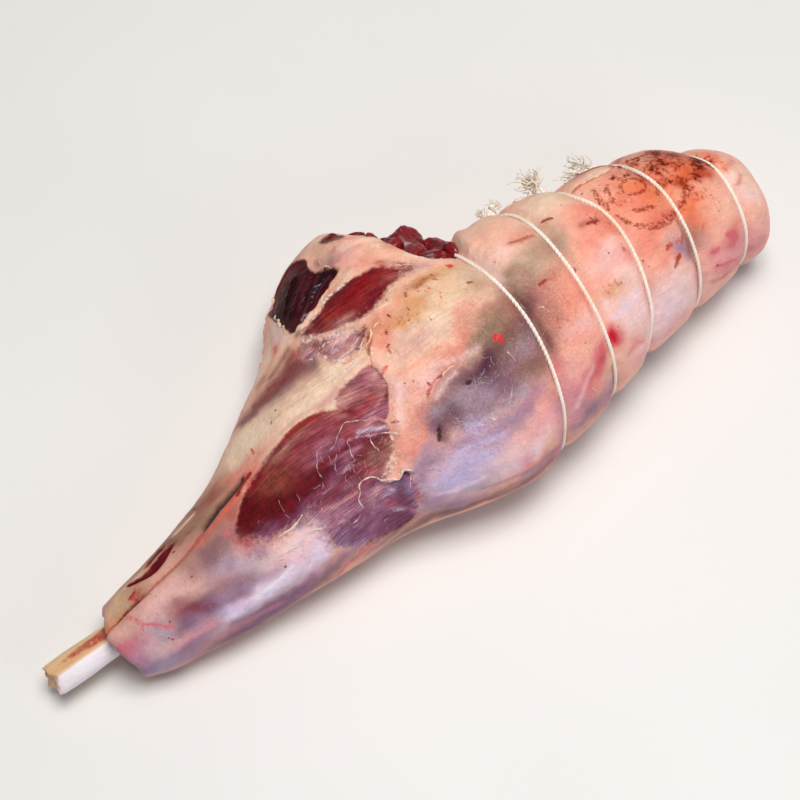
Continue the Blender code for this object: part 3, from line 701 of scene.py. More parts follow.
# Long soft strokes of colour on the fat and the silverskin, among them a painted sheen and painted shade in a
# slit
FAT_STROKES = (
    # painted shade: a broad slate stroke darkens the deep slit in the shank's fat
    (((109, 68.4), (116, 66.2), (124, 65.3), (134, 65.6), (144, 64)), 2.1, SLATE, 1.0),
    (((92, 128), (106, 132), (120, 136), (134, 138)), 2.8, HAZE, 0.5),
    (((60, 150), (74, 147), (88, 148)), 2.4, PINK, 0.5),
    # painted highlight: a pale band with a whiter streak in it, the sheen of light along the shank's
    # silverskin
    (((92, 150), (108, 151), (124, 149), (142, 145)), 3.2, FROST, 0.7),
    (((112, 147), (124, 145.5), (140, 141)), 1.2, CHALK_SHEEN, 0.7),
    (((94, 160), (104, 163), (114, 166)), 2.2, HEATHER, 0.5),
    (((84, 172), (98, 168), (112, 170), (128, 174)), 1.8, ORCHID, 0.6),
    (((118, 84), (120, 96), (126, 107)), 2.0, ROSE, 0.5),
    (((100, 76), (114, 73), (130, 71), (146, 69)), 2.0, CORAL, 0.55),
    (((36, 83), (44, 80), (52, 77)), 1.8, OCHRE, 0.9), (((40, 88), (50, 84), (60, 81)), 3.0, BLUSH, 0.6),
    (((50, 81), (54, 92), (55, 104), (60, 111), (68, 128)), 1.2, ROSE, 0.6),
    (((96, 40), (104, 42), (112, 41)), 1.6, CREAM, 0.8), (((162, 22), (167, 34), (173, 44)), 3.0, BRICK, 0.8),
    (((164, 26), (170, 34), (178, 44), (190, 54), (204, 62), (214, 67)), 5.6, TAUPE, 0.95),
    (((172, 34), (180, 43), (190, 50), (198, 55), (207, 61)), 4.0, SIENNA, 0.95),
    (((184, 44), (192, 49), (200, 52), (208, 54)), 3.4, SIENNA, 0.9),
    (((188, 40), (195, 44), (202, 47), (208, 50)), 2.2, FAWN, 0.8),
    (((190, 50.5), (196, 53), (202, 55), (208, 59)), 1.9, BRUISE, 0.5),
    (((172, 60), (184, 66), (196, 71)), 0.8, SAND, 0.5),
    (((196, 78.6), (204, 79.4), (213, 80.4)), 1.7, BLUSH, 0.9),
    (((172, 70.5), (186, 74), (198, 78)), 1.2, BLUSH, 0.6),
    (((236, 79.5), (243, 76), (254, 73.5)), 1.6, CLAY, 0.5),
    (((214, 48), (222, 53), (232, 54.6), (246, 53.6), (262, 54.6)), 1.1, CREAM, 1.0),
    (((230, 55.2), (244, 54.6), (258, 55)), 0.5, RUSSET, 0.6),
    (((262, 40), (268, 36), (278, 37)), 1.4, SALMON, 0.7),
    (((258, 47), (266, 49), (276, 47)), 1.2, SALMON, 0.5),
    (((288, 56), (298, 60.5), (306, 58), (316, 50)), 1.3, CREAM, 0.9),
    (((225, 112), (226, 106), (231, 98), (236, 91)), 1.6, BLUSH, 0.8),
    (((228, 110), (233, 102), (239, 92)), 2.4, PALE, 0.6),
    (((250, 110), (258, 107), (268, 105.5)), 1.2, PALE, 0.7),
    (((240, 90), (256, 92), (274, 92)), 1.4, SALMON, 0.5),
    (((258, 96), (272, 101), (286, 103)), 1.6, PALE, 0.5),
    (((222, 128), (230, 125), (238, 118)), 2.4, SALMON, 0.7),
    # the frost stroke along the far side is more of that painted sheen on the thigh's silverskin
    (((228, 158), (240, 160), (256, 158)), 2.0, FROST, 0.7),
    (((244, 140), (258, 138), (274, 141)), 1.8, LILAC, 0.8),
    (((266, 128), (280, 131), (296, 130)), 1.8, SILVER, 0.6),
    (((250, 166), (266, 168), (284, 170)), 1.6, HAZE, 0.6),
    (((322, 52), (322, 70), (322, 90)), 1.6, PALE, 0.6),
    (((322, 94), (323, 110), (323, 126)), 1.6, GRAPE, 0.45),
    (((336, 74), (342, 77), (350, 80)), 1.8, CLAY, 0.6),
    (((324, 158), (332, 150), (340, 146)), 1.6, PALE, 0.5),
    (((352, 104), (352, 112), (351, 128)), 1.6, CORAL, 0.5),
    (((374, 93.5), (380, 94.5), (388, 96)), 1.8, CLAY, 0.8),
    (((364, 160), (374, 158), (382, 162)), 1.6, ROSE, 0.5),
    (((362, 136), (374, 138), (388, 136)), 1.6, FROST, 0.6),
    (((394, 150), (395, 160), (396, 172)), 1.4, ROSE, 0.6),
    (((398, 62), (408, 66), (418, 65.5), (428, 61)), 1.2, CORAL, 0.9),
    (((430, 116), (431, 134), (431, 148)), 1.6, DUSK, 0.6),
    (((445, 158), (455, 162), (466, 168)), 1.6, ROSE, 0.8),
    (((440, 166), (450, 172), (462, 176)), 1.6, CLAY, 0.5),
    (((481, 115), (486, 112), (490, 106)), 1.4, ROSE, 0.6),
    (((480, 100), (487, 96), (494, 92)), 2.0, CORAL, 0.5),
)
# Bare flesh, by its outline
MAIN_MUSCLE = (
    (121, 93), (126, 86), (133, 79), (141, 74), (152, 73), (172, 73.5), (188, 77), (200, 82), (209, 88),
    (216, 95), (221, 103), (221, 109), (219, 114), (218, 120), (211, 126), (204, 132), (210, 135), (213, 137),
    (216, 131.5), (219, 136), (219, 146), (219, 158), (214, 168), (207, 173), (190, 173), (181, 168),
    (174, 162), (168, 156), (163, 148), (161, 140), (160, 128), (157, 122), (153, 119.5), (147, 118.5),
    (138, 116), (130, 110), (124, 101),
)
KNEE_MUSCLE = ((200, 80.5), (213, 95), (222, 105), (226, 101), (230, 96), (234.5, 90), (235, 84), (232, 81))
RED_STRIP = (
    (215, 52.5), (219, 54), (225, 54.4), (233, 56.2), (240, 55), (250, 56), (257, 56.4), (264, 58),
    (272, 58.8), (280, 60.5), (288.5, 62), (285, 64.5), (276, 67), (268, 68), (264, 69.8), (251, 70.5),
    (243, 69.6), (238, 67), (232, 66), (227, 63), (222, 61), (218, 56.5),
)
DRIED_FLAP = (
    (213, 40), (212.5, 46), (215, 49.5), (219, 49.6), (221, 52), (227, 52.2), (232, 53.6), (238, 52),
    (244, 52.6), (248, 50.6), (252, 51), (259, 49), (255, 47.4), (257, 45.8), (253, 44), (255, 41.6),
    (247, 39.6), (247, 36), (248, 32), (251, 28), (248, 22), (243, 12), (232, 2), (222, -2), (216, 12),
    (213.5, 28),
)
NOTCH_FLESH = (
    (288, 8), (287, 30), (287.5, 45), (290, 52), (293, 56), (297, 57.4), (300, 59.4), (306, 56), (312, 51.5),
    (316, 49), (318, 49), (320, 46), (321.5, 39), (324, 28), (324, 8), (306, -2), (292, 0),
)
FLAP_BIT = ((262, 26), (264, 31), (269, 34.5), (274, 35), (277, 31), (270, 24))
SHANK_CUTS = (
    ((58.5, 38), (59, 47), (62, 54), (68, 59.5), (75, 63), (81, 62), (88, 59), (95, 54), (94, 49), (86, 48.5),
     (78, 50.5), (71, 51), (65.5, 47.5), (62, 41)),
    ((72, 45), (76, 48.5), (83, 45), (88, 46), (89, 38), (81, 36), (74, 38)),
)
SKIN_PATCHES = (
    ((214, 62), (217, 68), (218, 73), (224, 75.5), (231, 77), (239, 76), (246, 73.5), (240, 71.5),
     (233, 68.5), (227, 66), (223, 63)),
    ((206, 53), (207, 60), (213, 64), (219, 65), (223, 63), (217, 57)),
)
# Each bare patch, with how far its edge feathers out, in millimetres
FLESH = (
    (MAIN_MUSCLE, 0.6), (KNEE_MUSCLE, 0.6), (RED_STRIP, 0.7), (DRIED_FLAP, 0.7), (NOTCH_FLESH, 0.6),
    (FLAP_BIT, 1.2), (SHANK_CUTS[0], 0.7), (SHANK_CUTS[1], 1.6), (SKIN_PATCHES[0], 1.6),
    (SKIN_PATCHES[1], 1.4),
)
# Where the edges feather further: place, turn, radii, how many times, any lean
FEATHERED = (
    (140, 116, 22, 6, 9, 6), (124, 105, 7, 7, 9, 20), (160, 125, 8, 8, 7), (150, 73, 26, 3, 2),
    (159, 145, 10, 14, 8), (182, 170, 34, 7, 12), (222, 158, 6, 12, 9), (212, 126, 10, 6, 14),
    (218, 118, 5, 8, 5), (205, 96, 20, 6, 3, 24), (266, 70.5, 22, 3, 2), (285, 62, 9, 6, 6),
    (219, 57, 6, 5, 2), (230, 72, 12, 6, 1.5), (212, 40, 5, 8, 1.5), (260, 40, 10, 10, 2), (202, 80, 8, 4, 2),
)

# Lines that show both as a mark and as a fold; the dark marks along the shank's slit are painted shade in the
# crease
SHANK_SLIT = ((34, 83), (42, 81), (50, 76.5), (60, 76.5), (75, 75), (90, 74.5), (100, 71), (110, 68))
SLIT_END = ((44, 80), (50, 76.5), (60, 76.6), (66, 76))
THIGH_SEAM = ((246, 110), (250, 105), (256, 102.5), (264, 102), (275, 101))
# Thin marks, among them painted shade along the shank's slit: path, half width in millimetres, colour
MARKS = (
    # painted shade: the crease of the shank's slit, its end and the deep cut beyond are drawn darker
    (SHANK_SLIT, 0.7, CLAY), (SLIT_END, 0.9, WINE),
    (((110, 68), (116, 66), (124, 65.2), (134, 65.5), (143, 64)), 1.6, SLATE),
    (((60, 77), (58, 70), (56.5, 64)), 0.9, CHERRY), (((58, 70), (62, 62)), 0.9, CHERRY),
    (((56, 66), (59, 65), (61, 64)), 0.8, BLOOD), (((51, 81), (54, 92), (55, 104), (54, 112)), 0.45, ROSE),
    (((55, 104), (60, 111), (68, 128)), 0.45, ROSE), (((67, 80), (70, 93)), 0.4, ROSE),
    (((113, 30), (115, 38)), 0.7, SOOT), (((62, 133), (65, 141)), 0.5, BRICK),
    (((303.5, 66.6), (305.6, 64.6), (307.6, 63)), 1.2, SCARLET), (((304, 64), (306.5, 65.6)), 0.8, CRIMSON),
    (((294.6, 104), (297.4, 105), (300, 105.6)), 1.3, SCARLET),
    (((296.6, 103), (297.6, 105), (298, 108)), 1.2, SCARLET), (((303.5, 78), (308, 79)), 0.7, BRICK),
    (((290.5, 71.5), (293, 72)), 0.7, BRICK), (((284, 74), (286, 74.4)), 0.7, CORAL),
    (((250, 79), (252, 78.5)), 0.7, BRICK), (((333, 101.4), (339, 102)), 0.7, BRICK),
    (((337, 74), (341, 76.5), (350, 80)), 0.6, CLAY), (((359, 75), (363, 77), (366, 79.5)), 1.0, BRICK),
    (((379, 94.5), (383, 94.8), (388, 96)), 0.8, BLOOD), (((384, 92), (385.6, 95), (383.6, 98)), 0.7, BRICK),
    (((386, 95), (392, 91)), 0.5, BRICK), (((269, 112), (271.5, 112)), 1.3, SOOT),
    (((240.5, 129), (242, 126), (243.5, 123)), 1.2, SOOT), (((135, 139), (135.5, 139.4)), 0.9, COAL),
    (((414, 127), (416.5, 125.5)), 1.3, RUST), (((415, 138), (420, 135), (422, 134)), 1.4, RUST),
    (((425, 130), (429, 126)), 0.9, RUST), (((444, 146), (448, 148), (451, 146)), 1.2, ROSE),
    (((459, 142), (463, 143), (466, 148), (463, 151)), 2.6, ROSE),
    (((489, 150), (489.6, 150.6)), 0.9, CRIMSON), (((489, 142), (489.5, 142.5)), 0.6, BARK),
    (((400, 129), (400.5, 129.5)), 0.7, BARK), (((402, 64), (412, 66.5), (420, 64.8), (430, 60)), 0.9, CLAY),
    (((410, 43), (418, 47), (425, 52)), 1.4, BRICK), (THIGH_SEAM, 0.6, ROSE),
    (((247, 108), (250, 105)), 0.9, BLOOD), (((257, 103), (262, 102.3)), 0.8, BLOOD),
    (((236, 80), (240, 77.5), (244, 75.5)), 0.9, CLAY), (((240, 78), (243, 76)), 1.1, WINE),
    (((276, 70), (282, 69.4), (290, 68.6)), 0.5, OCHRE), (((235, 87), (240, 86)), 0.9, CORAL),
    (((156, 62), (157, 55)), 0.7, SCARLET), (((135, 72), (141, 69), (148, 69)), 1.4, BLOOD),
    (((174, 74.6), (186, 77), (198, 82)), 0.9, BRICK), (((206.5, 57), (208, 52)), 0.6, CORAL),
    (((395, 148), (397, 143)), 0.9, ROSE), (((352, 93), (352.5, 93.5)), 0.5, BARK),
)
# Where specks of blood are scattered: place, turn, spread along and round, how many
SPECK_PATCHES = ((270, 84, 22, 12, 16), (300, 74, 14, 6, 8), (375, 90, 20, 20, 14), (450, 125, 24, 18, 12),
                 (180, 60, 20, 12, 6), (340, 140, 12, 16, 7), (230, 110, 12, 20, 8), (100, 100, 30, 24, 6))
SPECK_HUES = (BRICK, RUSSET, ROSE, CLAY)
# Pale threads of torn membrane: path, half width
THREADS = (
    (((188, 141), (187, 133), (190, 130), (191, 126), (193, 124), (200, 125), (204, 132)), 0.45),
    (((140, 117), (150, 119.5), (157, 116.5)), 0.5),
    (((135, 129), (145, 131), (150, 130), (155, 128), (160, 131), (165, 134.5)), 0.4),
    (((187, 97), (193, 96), (202, 89), (210, 95), (215, 98)), 0.25),
    (((176, 106), (177, 100), (180, 94), (186, 91)), 0.2), (((150, 106), (150, 97)), 0.15),
    (((160, 109), (160, 103)), 0.15), (((326, 108), (329, 109), (330, 113)), 0.35),
    (((297, 112), (299, 118)), 0.3), (((203, 131), (208, 133), (213, 136), (216, 131), (221, 136.5)), 0.6),
    (((210, 116), (209, 111), (209.5, 106)), 0.4), (((215, 108), (220, 110), (224, 115)), 0.4),
    (((281, 130), (286, 128), (290, 124)), 0.25), (((262, 131), (266, 132)), 0.3),
    (((270, 130), (273, 132.5)), 0.35), (((218, 64), (224, 66), (228, 68)), 0.3),
    (((217, 77), (224, 78.5), (231, 79)), 0.5), (((215, 145), (218, 141), (219, 137)), 0.4),
    (((335, 155), (338, 161)), 0.25), (((128, 162), (131, 158)), 0.25),
    (((142, 132), (143, 126), (141, 120)), 0.2), (((178, 144), (182, 145), (185, 142)), 0.3),
    (((196, 112), (197, 104), (199, 99)), 0.25), (((184, 112), (186, 105), (190, 101)), 0.22),
    (((227, 139), (231, 140), (233, 136)), 0.22),
)
# Where short hairs of membrane are scattered: place, turn, spread along and round, how many
HAIR_PATCHES = (
    (288, 114, 24, 15, 80), (262, 130, 20, 10, 36), (318, 112, 12, 14, 20), (205, 125, 14, 14, 30),
    (180, 118, 24, 10, 24), (150, 124, 16, 6, 12), (232, 136, 8, 8, 14), (335, 150, 8, 10, 14),
    (385, 108, 24, 20, 10), (225, 72, 10, 5, 10), (100, 110, 24, 16, 8), (250, 104, 12, 3, 12),
)
# Raised torn edges: path, radius in millimetres
LIPS = (
    (((224.5, 116), (225.5, 108), (230, 98.5), (235.5, 91), (236.5, 86)), 0.55),
    (((232.5, 85), (236, 81.5), (240, 79), (243, 77.5)), 1.0),
    (((236, 79.5), (241, 76.8), (246, 75.2), (252, 74)), 0.8),
    (((213, 48), (220, 52.6), (230, 54.8), (240, 53.4), (252, 53.6), (263, 54.6)), 0.7),
    (((212, 47), (213, 40), (214, 32), (216, 22)), 0.8),
    (((240, 71.6), (252, 72.4), (266, 71), (280, 68.4)), 0.55),
    (((260, 49), (255, 45), (253, 40), (255, 35)), 0.6), (((278, 59.6), (289, 62), (286, 65.5)), 0.5),
    (((203, 131), (208, 133.6), (213, 136.4), (216, 131.6), (221, 137)), 0.55),
    (((219, 74.5), (228, 77), (237, 76.5), (244, 74)), 0.5),
    (((247, 109), (251, 105.4), (257, 103), (264, 102.6), (273, 101.4)), 0.55),
    (((289, 50), (292, 56), (297, 57.6), (300, 59.2), (307, 56.6), (315, 49.6)), 0.7),
    (((317, 50), (321, 45), (323, 38), (325, 28)), 0.8),
    (((399, 61), (406, 65), (413, 66.6), (420, 65.4)), 0.6), (((224, 4), (216, 6), (208, 3), (200, 7)), 1.1),
    (((238, 0), (228, -3), (219, 1)), 1.0), (((206, 14), (198, 12), (190, 14)), 0.8),
    (((262, 36), (268, 39.5), (276, 40), (284, 38)), 0.8),
    (((36, 116), (35.2, 100), (35, 88), (36, 82)), 0.5), (((39, 160), (38.5, 140), (37, 122)), 0.4),
)

# Pale film over the bare flesh: place, turn, radii, share, any lean
FILMS = (
    (208, 104, 12, 1.5, 0.6, 35), (219, 109, 5, 1.4, 0.35, 10), (217, 100, 4, 2.4, 0.5, 40),
    (192, 112, 9, 3, 0.55, 20), (170, 116, 12, 3, 0.45), (198, 98, 14, 2.4, 0.4, 26),
    (205, 155, 12, 2.2, 0.55, 55), (216, 160, 4, 9, 0.5, -10), (184, 148, 12, 4, 0.35),
    (176, 138, 12, 3, 0.5, 10), (205, 141, 7, 4, 0.5), (222, 70, 6, 2, 0.6, 20), (212, 60, 5, 2, 0.4, 30),
    (262, 66, 18, 1, 0.35, -3), (240, 46, 12, 0.9, 0.55, -12), (234, 42, 12, 0.8, 0.5, -14),
    (252, 39, 7, 1.6, 0.5, -30), (224, 49, 4, 3, 0.6),
)
# Brown stains, most of them on the rump: place, turn, radii, share, any lean
STAINS = (
    (466, 91, 9, 8, 0.9), (472, 84, 9, 8, 1, -30), (476, 92, 5, 6, 0.9), (458, 99, 9, 5, 0.8),
    (455, 84, 10, 6, 0.7), (450, 76, 12, 6, 0.8), (442, 80, 8, 8, 0.75), (452, 64, 8, 12, 0.95),
    (462, 72, 10, 8, 0.9), (440, 62, 8, 10, 0.7), (425, 76, 8, 6, 0.6), (417, 75, 4, 5, 0.85),
    (428, 66, 5, 7, 0.8), (427, 88, 7, 8, 0.6), (442, 94, 9, 7, 0.62), (447, 104, 6, 8, 0.7, 30),
    (404, 80, 6, 10, 0.28), (410, 92, 10, 8, 0.42), (426, 112, 9, 4, 0.6), (420, 104, 10, 3, 0.3),
    (438, 110, 6, 5, 0.6), (452, 112, 10, 5, 0.42), (462, 120, 8, 6, 0.36), (480, 88, 5, 10, 0.6),
    (372, 124, 9, 4, 0.42), (390, 115, 4, 5, 0.42), (420, 126, 8, 3, 0.5), (419, 136, 4, 3, 0.7),
    (442, 126, 7, 5, 0.36), (346, 78, 7, 3, 0.42, 20), (362, 78, 5, 3, 0.5), (338, 102, 7, 2, 0.4),
    (478, 70, 4, 14, 0.5), (262, 78, 20, 4, 0.36), (282, 71, 12, 3, 0.42), (246, 77, 8, 2, 0.3),
    (203, 35, 5, 6, 0.34), (400, 62, 5, 6, 0.36), (386, 93, 6, 5, 0.2),
)
# Smeared arcs of ink, and their half width in millimetres
INK_HALF = 1.35
INK_LINES = (
    ((399, 98), (402, 106), (407, 110.5), (415, 113), (424, 114), (433, 112)),
    ((410, 113), (417, 115.5), (424, 116), (432, 114.5)),
    ((434, 113), (440, 109.5), (445, 104), (448, 98), (449, 93)),
    ((409, 101), (414, 103.5), (421, 104.5)),
    ((412, 90), (413, 84), (418, 81.5), (424, 82), (428, 86), (426, 92), (420, 95), (414, 93)),
    ((403, 92), (405, 85), (409, 77)),
    ((399, 93), (400, 84), (403, 74)),
    ((436, 96), (440, 92), (441, 86), (438, 80)),
    ((428, 99), (433, 96), (436, 90)),
)
# Hollows and folds pressed into the skin: path, depth (+ is a ridge), spread, all in millimetres
FOLDS = (
    (SHANK_SLIT, -1.5, 1.5), (SLIT_END, -1.0, 1.0),
    (((108, 68.5), (120, 65), (133, 65.5), (143, 64)), -3.0, 1.7),
    (((108, 74), (120, 71), (133, 71.5), (145, 70)), 0.9, 2.6),
    (((102, 60), (115, 57), (130, 58), (143, 57)), 1.0, 3.2),
    (((60, 46), (69, 59), (76, 63.5), (84, 61), (96, 49)), -1.4, 1.6),
    (((56, 50), (66, 63), (76, 68.5), (86, 65), (98, 52)), 1.2, 2.6),
    (((64, 122), (74, 123), (90, 118), (104, 122)), -0.8, 4.5),
    (((60, 146), (85, 137), (112, 132), (135, 133)), -0.7, 4.5),
    (((60, 154), (90, 147), (120, 148), (145, 145)), 0.9, 5.5),
    (((70, 166), (100, 164), (130, 166)), -0.9, 5.0),
    (((166, 28), (175, 40), (190, 51), (205, 61), (214, 66)), -1.3, 3.6),
    (((175, 58), (187, 68), (201, 76), (222, 80)), 0.8, 3.0),
    (((216, 49), (230, 54.6), (248, 53.8), (268, 55.6)), 1.4, 1.4),
    (((224, 116), (225, 108), (230, 97), (235.5, 90), (236.5, 84), (240, 79), (246, 75.5)), 1.0, 2.2),
    (THIGH_SEAM, -0.9, 1.2), (((248, 113), (253, 108), (260, 106), (270, 105)), 0.8, 1.8),
    (((277, 70.5), (283, 69.4), (291, 68.4)), -0.6, 1.4),
    (((202, 131), (208, 134), (213, 137), (216, 132), (221, 137)), 0.9, 1.6),
    (((213, 141), (216, 134.5), (219, 140)), -2.2, 2.0), (((240, 130), (242, 126), (244, 122)), -1.3, 1.5),
    (((266, 112), (273, 112)), -1.0, 1.6), (((398, 62), (412, 67.5), (420, 66), (431, 61)), 0.8, 2.0),
    (((400, 59), (412, 63.5), (420, 62), (431, 57)), -1.4, 1.8),
    (((286, 47), (289, 55), (294, 59), (299, 61.5), (308, 58), (316, 51)), 1.6, 2.6),
    (((325, 62), (326, 50), (328, 40), (330, 28)), 2.4, 3.6),
    (((264, 38.5), (270, 41), (278, 42), (286, 42)), 1.7, 1.9),
    (((260, 47), (268, 47.6), (278, 46.6), (286, 49)), 1.1, 1.7),
    (((266, 44), (274, 44.6), (282, 45)), -1.0, 1.4),
)
DRIED_RIDGES = (
    ((222, 50), (232, 47), (242, 44.5), (249, 41)),
    ((226, 53), (238, 50), (250, 47.5), (258, 46.5)),
    ((221, 45), (231, 42), (241, 39.5), (250, 36)),
    ((219, 40), (229, 37), (240, 34), (252, 32)),
    ((218, 34), (228, 31), (240, 28.5)),
)
TENDON_GUIDE = ((160, 20), (168, 36), (176, 50), (186, 60), (198, 67), (214, 73), (234, 77))
MUSCLE_GUIDE = ((118, 95), (140, 98), (165, 98), (190, 101), (220, 106))
FLAP_GUIDE = ((212, 50), (230, 55), (250, 60), (270, 62), (292, 62))
# Where the grain bends: its guide, the outline it fills, how strongly it shows there
TENDON_SHEET = (
    (158, 14), (166, 38), (176, 54), (190, 68), (204, 80), (222, 81), (236, 82), (236, 77), (216, 72),
    (214, 60), (204, 50), (194, 34), (186, 14),
)
GRAIN_FIELDS = (
    (TENDON_GUIDE, TENDON_SHEET, 0.9), (MUSCLE_GUIDE, MAIN_MUSCLE, 1.0), (MUSCLE_GUIDE, KNEE_MUSCLE, 0.9),
    (FLAP_GUIDE, RED_STRIP, 1.0), (FLAP_GUIDE, DRIED_FLAP, 1.0),
)
# Where the skin shows its grain, is shredded, coarse, wet or torn at its edges: place, turn, radii, share
GRAINY = ((262, 90, 34, 16, 0.35), (420, 120, 60, 50, 0.2))
SHREDDED = (
    (222, 68, 22, 22, 0.9), (205, 125, 26, 18, 1), (212, 148, 16, 22, 0.8), (258, 106, 22, 8, 0.5),
    (270, 55, 22, 12, 0.6),
)
COARSE = ((292, 112, 50, 26, 0.9), (252, 130, 24, 16, 0.5), (156, 87, 16, 6, 0.5), (330, 105, 16, 20, 0.4))
WET = (
    (120, 149, 50, 8, 1), (160, 138, 40, 10, 0.9), (275, 150, 40, 14, 0.7), (200, 150, 34, 22, 0.6),
    (395, 140, 60, 18, 0.8), (475, 110, 30, 40, 0.5),
)
TORN_EDGES = (
    (226, 70, 24, 22, 0.95), (214, 120, 18, 20, 1), (250, 54, 28, 5, 1.1), (300, 54, 16, 12, 0.9),
    (214, 140, 10, 12, 0.7),
)
# Lumps of the skin, of the shredded places and of the notch: height in millimetres, size in metres, start
UNEVEN = ((1.0, 0.046, 3.1), (0.55, 0.019, 7.7), (0.26, 0.0085, 1.3), (0.12, 0.004, 5.9))
SHREDS = ((0.9, 0.0065, 3.3), (0.5, 0.0032, 6.6))
RUGGED = ((2.6, 0.013, 9.2), (1.2, 0.006, 4.4))


# ---------------------------------------------------------------- the wiring of the finishes

SOCKET_KINDS = {1: "NodeSocketFloat", 3: "NodeSocketVector", 4: "NodeSocketColor"}
ANYWHERE = (0.0, 0.0, 0.0)


class Signal:
    """What comes out of a node, to be reckoned with like a number."""

    def __init__(self, wires: "Wiring", socket: bpy.types.NodeSocket) -> None:
        """Keeps the socket and the wiring it is part of."""
        self.wires, self.socket = wires, socket

    def __add__(self, other: object) -> "Signal":
        """This and the other."""
        return self.wires.maths("ADD", self, other)

    def __sub__(self, other: object) -> "Signal":
        """This less the other."""
        return self.wires.maths("SUBTRACT", self, other)

    def __rsub__(self, other: float) -> "Signal":
        """A number less this."""
        return self.wires.maths("SUBTRACT", other, self)

    def __mul__(self, other: object) -> "Signal":
        """This times the other."""
        return self.wires.maths("MULTIPLY", self, other)

    def __truediv__(self, other: object) -> "Signal":
        """This over the other."""
        return self.wires.maths("DIVIDE", self, other)


class Wiring:
    """Adds nodes to one node tree and joins them."""

    def __init__(self, tree: bpy.types.NodeTree) -> None:
        """Keeps the tree that the nodes go into."""
        self.tree = tree

    def add(self, kind: str, *values: object, **settings: object) -> bpy.types.Node:
        """Adds a node, sets its own properties and feeds its first sockets."""
        made = self.tree.nodes.new(kind)
        for name, value in settings.items():
            setattr(made, name, value)
        for socket, value in zip(made.inputs, values):
            self.feed(socket, value)
        return made

    def feed(self, socket: bpy.types.NodeSocket, value: object) -> None:
        """Gives a socket a link, or a plain value."""
        if isinstance(value, Signal):
            self.tree.links.new(value.socket, socket)
        elif isinstance(value, tuple) and len(value) < len(socket.default_value):
            socket.default_value = (*value, 1.0)
        else:
            socket.default_value = value

    def feed_named(self, node: bpy.types.Node, **values: object) -> bpy.types.Node:
        """Feeds a node's sockets by name, with _ standing for a space."""
        for name, value in values.items():
            self.feed(node.inputs[name.replace("_", " ")], value)
        return node

    def maths(self, operation: str, *values: object) -> Signal:
        """A Math node on signals or numbers."""
        return Signal(self, self.add("ShaderNodeMath", *values, operation=operation).outputs[0])

    def vector(self, operation: str, *values: object) -> Signal:
        """A Vector Math node on signals or vectors."""
        return Signal(self, self.add("ShaderNodeVectorMath", *values, operation=operation).outputs[0])

    def joined(self, x: object, y: object, z: object = 0.0) -> Signal:
        """Three numbers as one vector."""
        return Signal(self, self.add("ShaderNodeCombineXYZ", x, y, z).outputs[0])

    def scaled(self, place: Signal, size: Signal) -> Signal:
        """A place drawn out, so that what it feeds gets that much finer."""
        made = self.feed_named(self.add("ShaderNodeVectorMath", place, operation="SCALE"), Scale=size)
        return Signal(self, made.outputs[0])

    def shaded(self, colour: Signal, level: Signal) -> Signal:
        """A colour made darker or lighter by one number."""
        return self.vector("MULTIPLY", colour, self.joined(level, level, level))

    def mix(self, share: object, under: object, over: object) -> Signal:
        """Mixes two colours by a share."""
        made = self.add("ShaderNodeMix", share, data_type="RGBA")
        self.feed(made.inputs[6], under)
        self.feed(made.inputs[7], over)
        return Signal(self, made.outputs[2])

    def ramp(self, value: Signal, low: object, high: object, *ends: float) -> Signal:
        """Spreads a value smoothly from one range over another, which is 0 to 1 unless it is given."""
        made = self.add("ShaderNodeMapRange", value, low, high, *ends, interpolation_type="SMOOTHSTEP")
        return Signal(self, made.outputs[0])

    def noise(self, place: Signal, scale: float, detail: float = 3.0, rough: float = 0.55) -> Signal:
        """Plain noise, from 0 to 1."""
        made = self.feed_named(self.add("ShaderNodeTexNoise"), Vector=place, Scale=scale, Detail=detail,
                               Roughness=rough)
        return Signal(self, made.outputs["Fac"])

    def painted(self, name: str, output: str = "Fac") -> Signal:
        """What is painted on the mesh under that name."""
        return Signal(self, self.add("ShaderNodeAttribute", attribute_name=name).outputs[output])

    def here(self) -> Signal:
        """A piece's own coordinates, in metres."""
        return Signal(self, self.add("ShaderNodeTexCoord").outputs["Object"])

    def group(self, tree: bpy.types.NodeTree, **values: object) -> Signal:
        """Places a shared group, feeds it and gives what comes out of it."""
        return Signal(self, self.feed_named(self.add("ShaderNodeGroup", node_tree=tree), **values).outputs[0])

    def give(self, value: Signal) -> bpy.types.NodeTree:
        """Ends a group with what comes out of it."""
        self.add("NodeGroupOutput", value)
        return self.tree


def new_group(name: str, kind: int, **inputs: object) -> tuple:
    """Starts a shader node group with one output.

    Args:
        name: The group's name.
        kind: How many numbers its output holds.
        **inputs: The plain value of each input.

    Returns:
        The group's wiring, then the signal of each input.
    """
    tree = bpy.data.node_groups.new(name, "ShaderNodeTree")
    for label, value in inputs.items():
        size = len(value) if isinstance(value, tuple) else 1
        made = tree.interface.new_socket(label, in_out="INPUT", socket_type=SOCKET_KINDS[size])
        made.default_value = value
    tree.interface.new_socket("Out", in_out="OUTPUT", socket_type=SOCKET_KINDS[kind])
    wires = Wiring(tree)
    given = wires.add("NodeGroupInput").outputs
    return wires, *(Signal(wires, given[label]) for label in inputs)


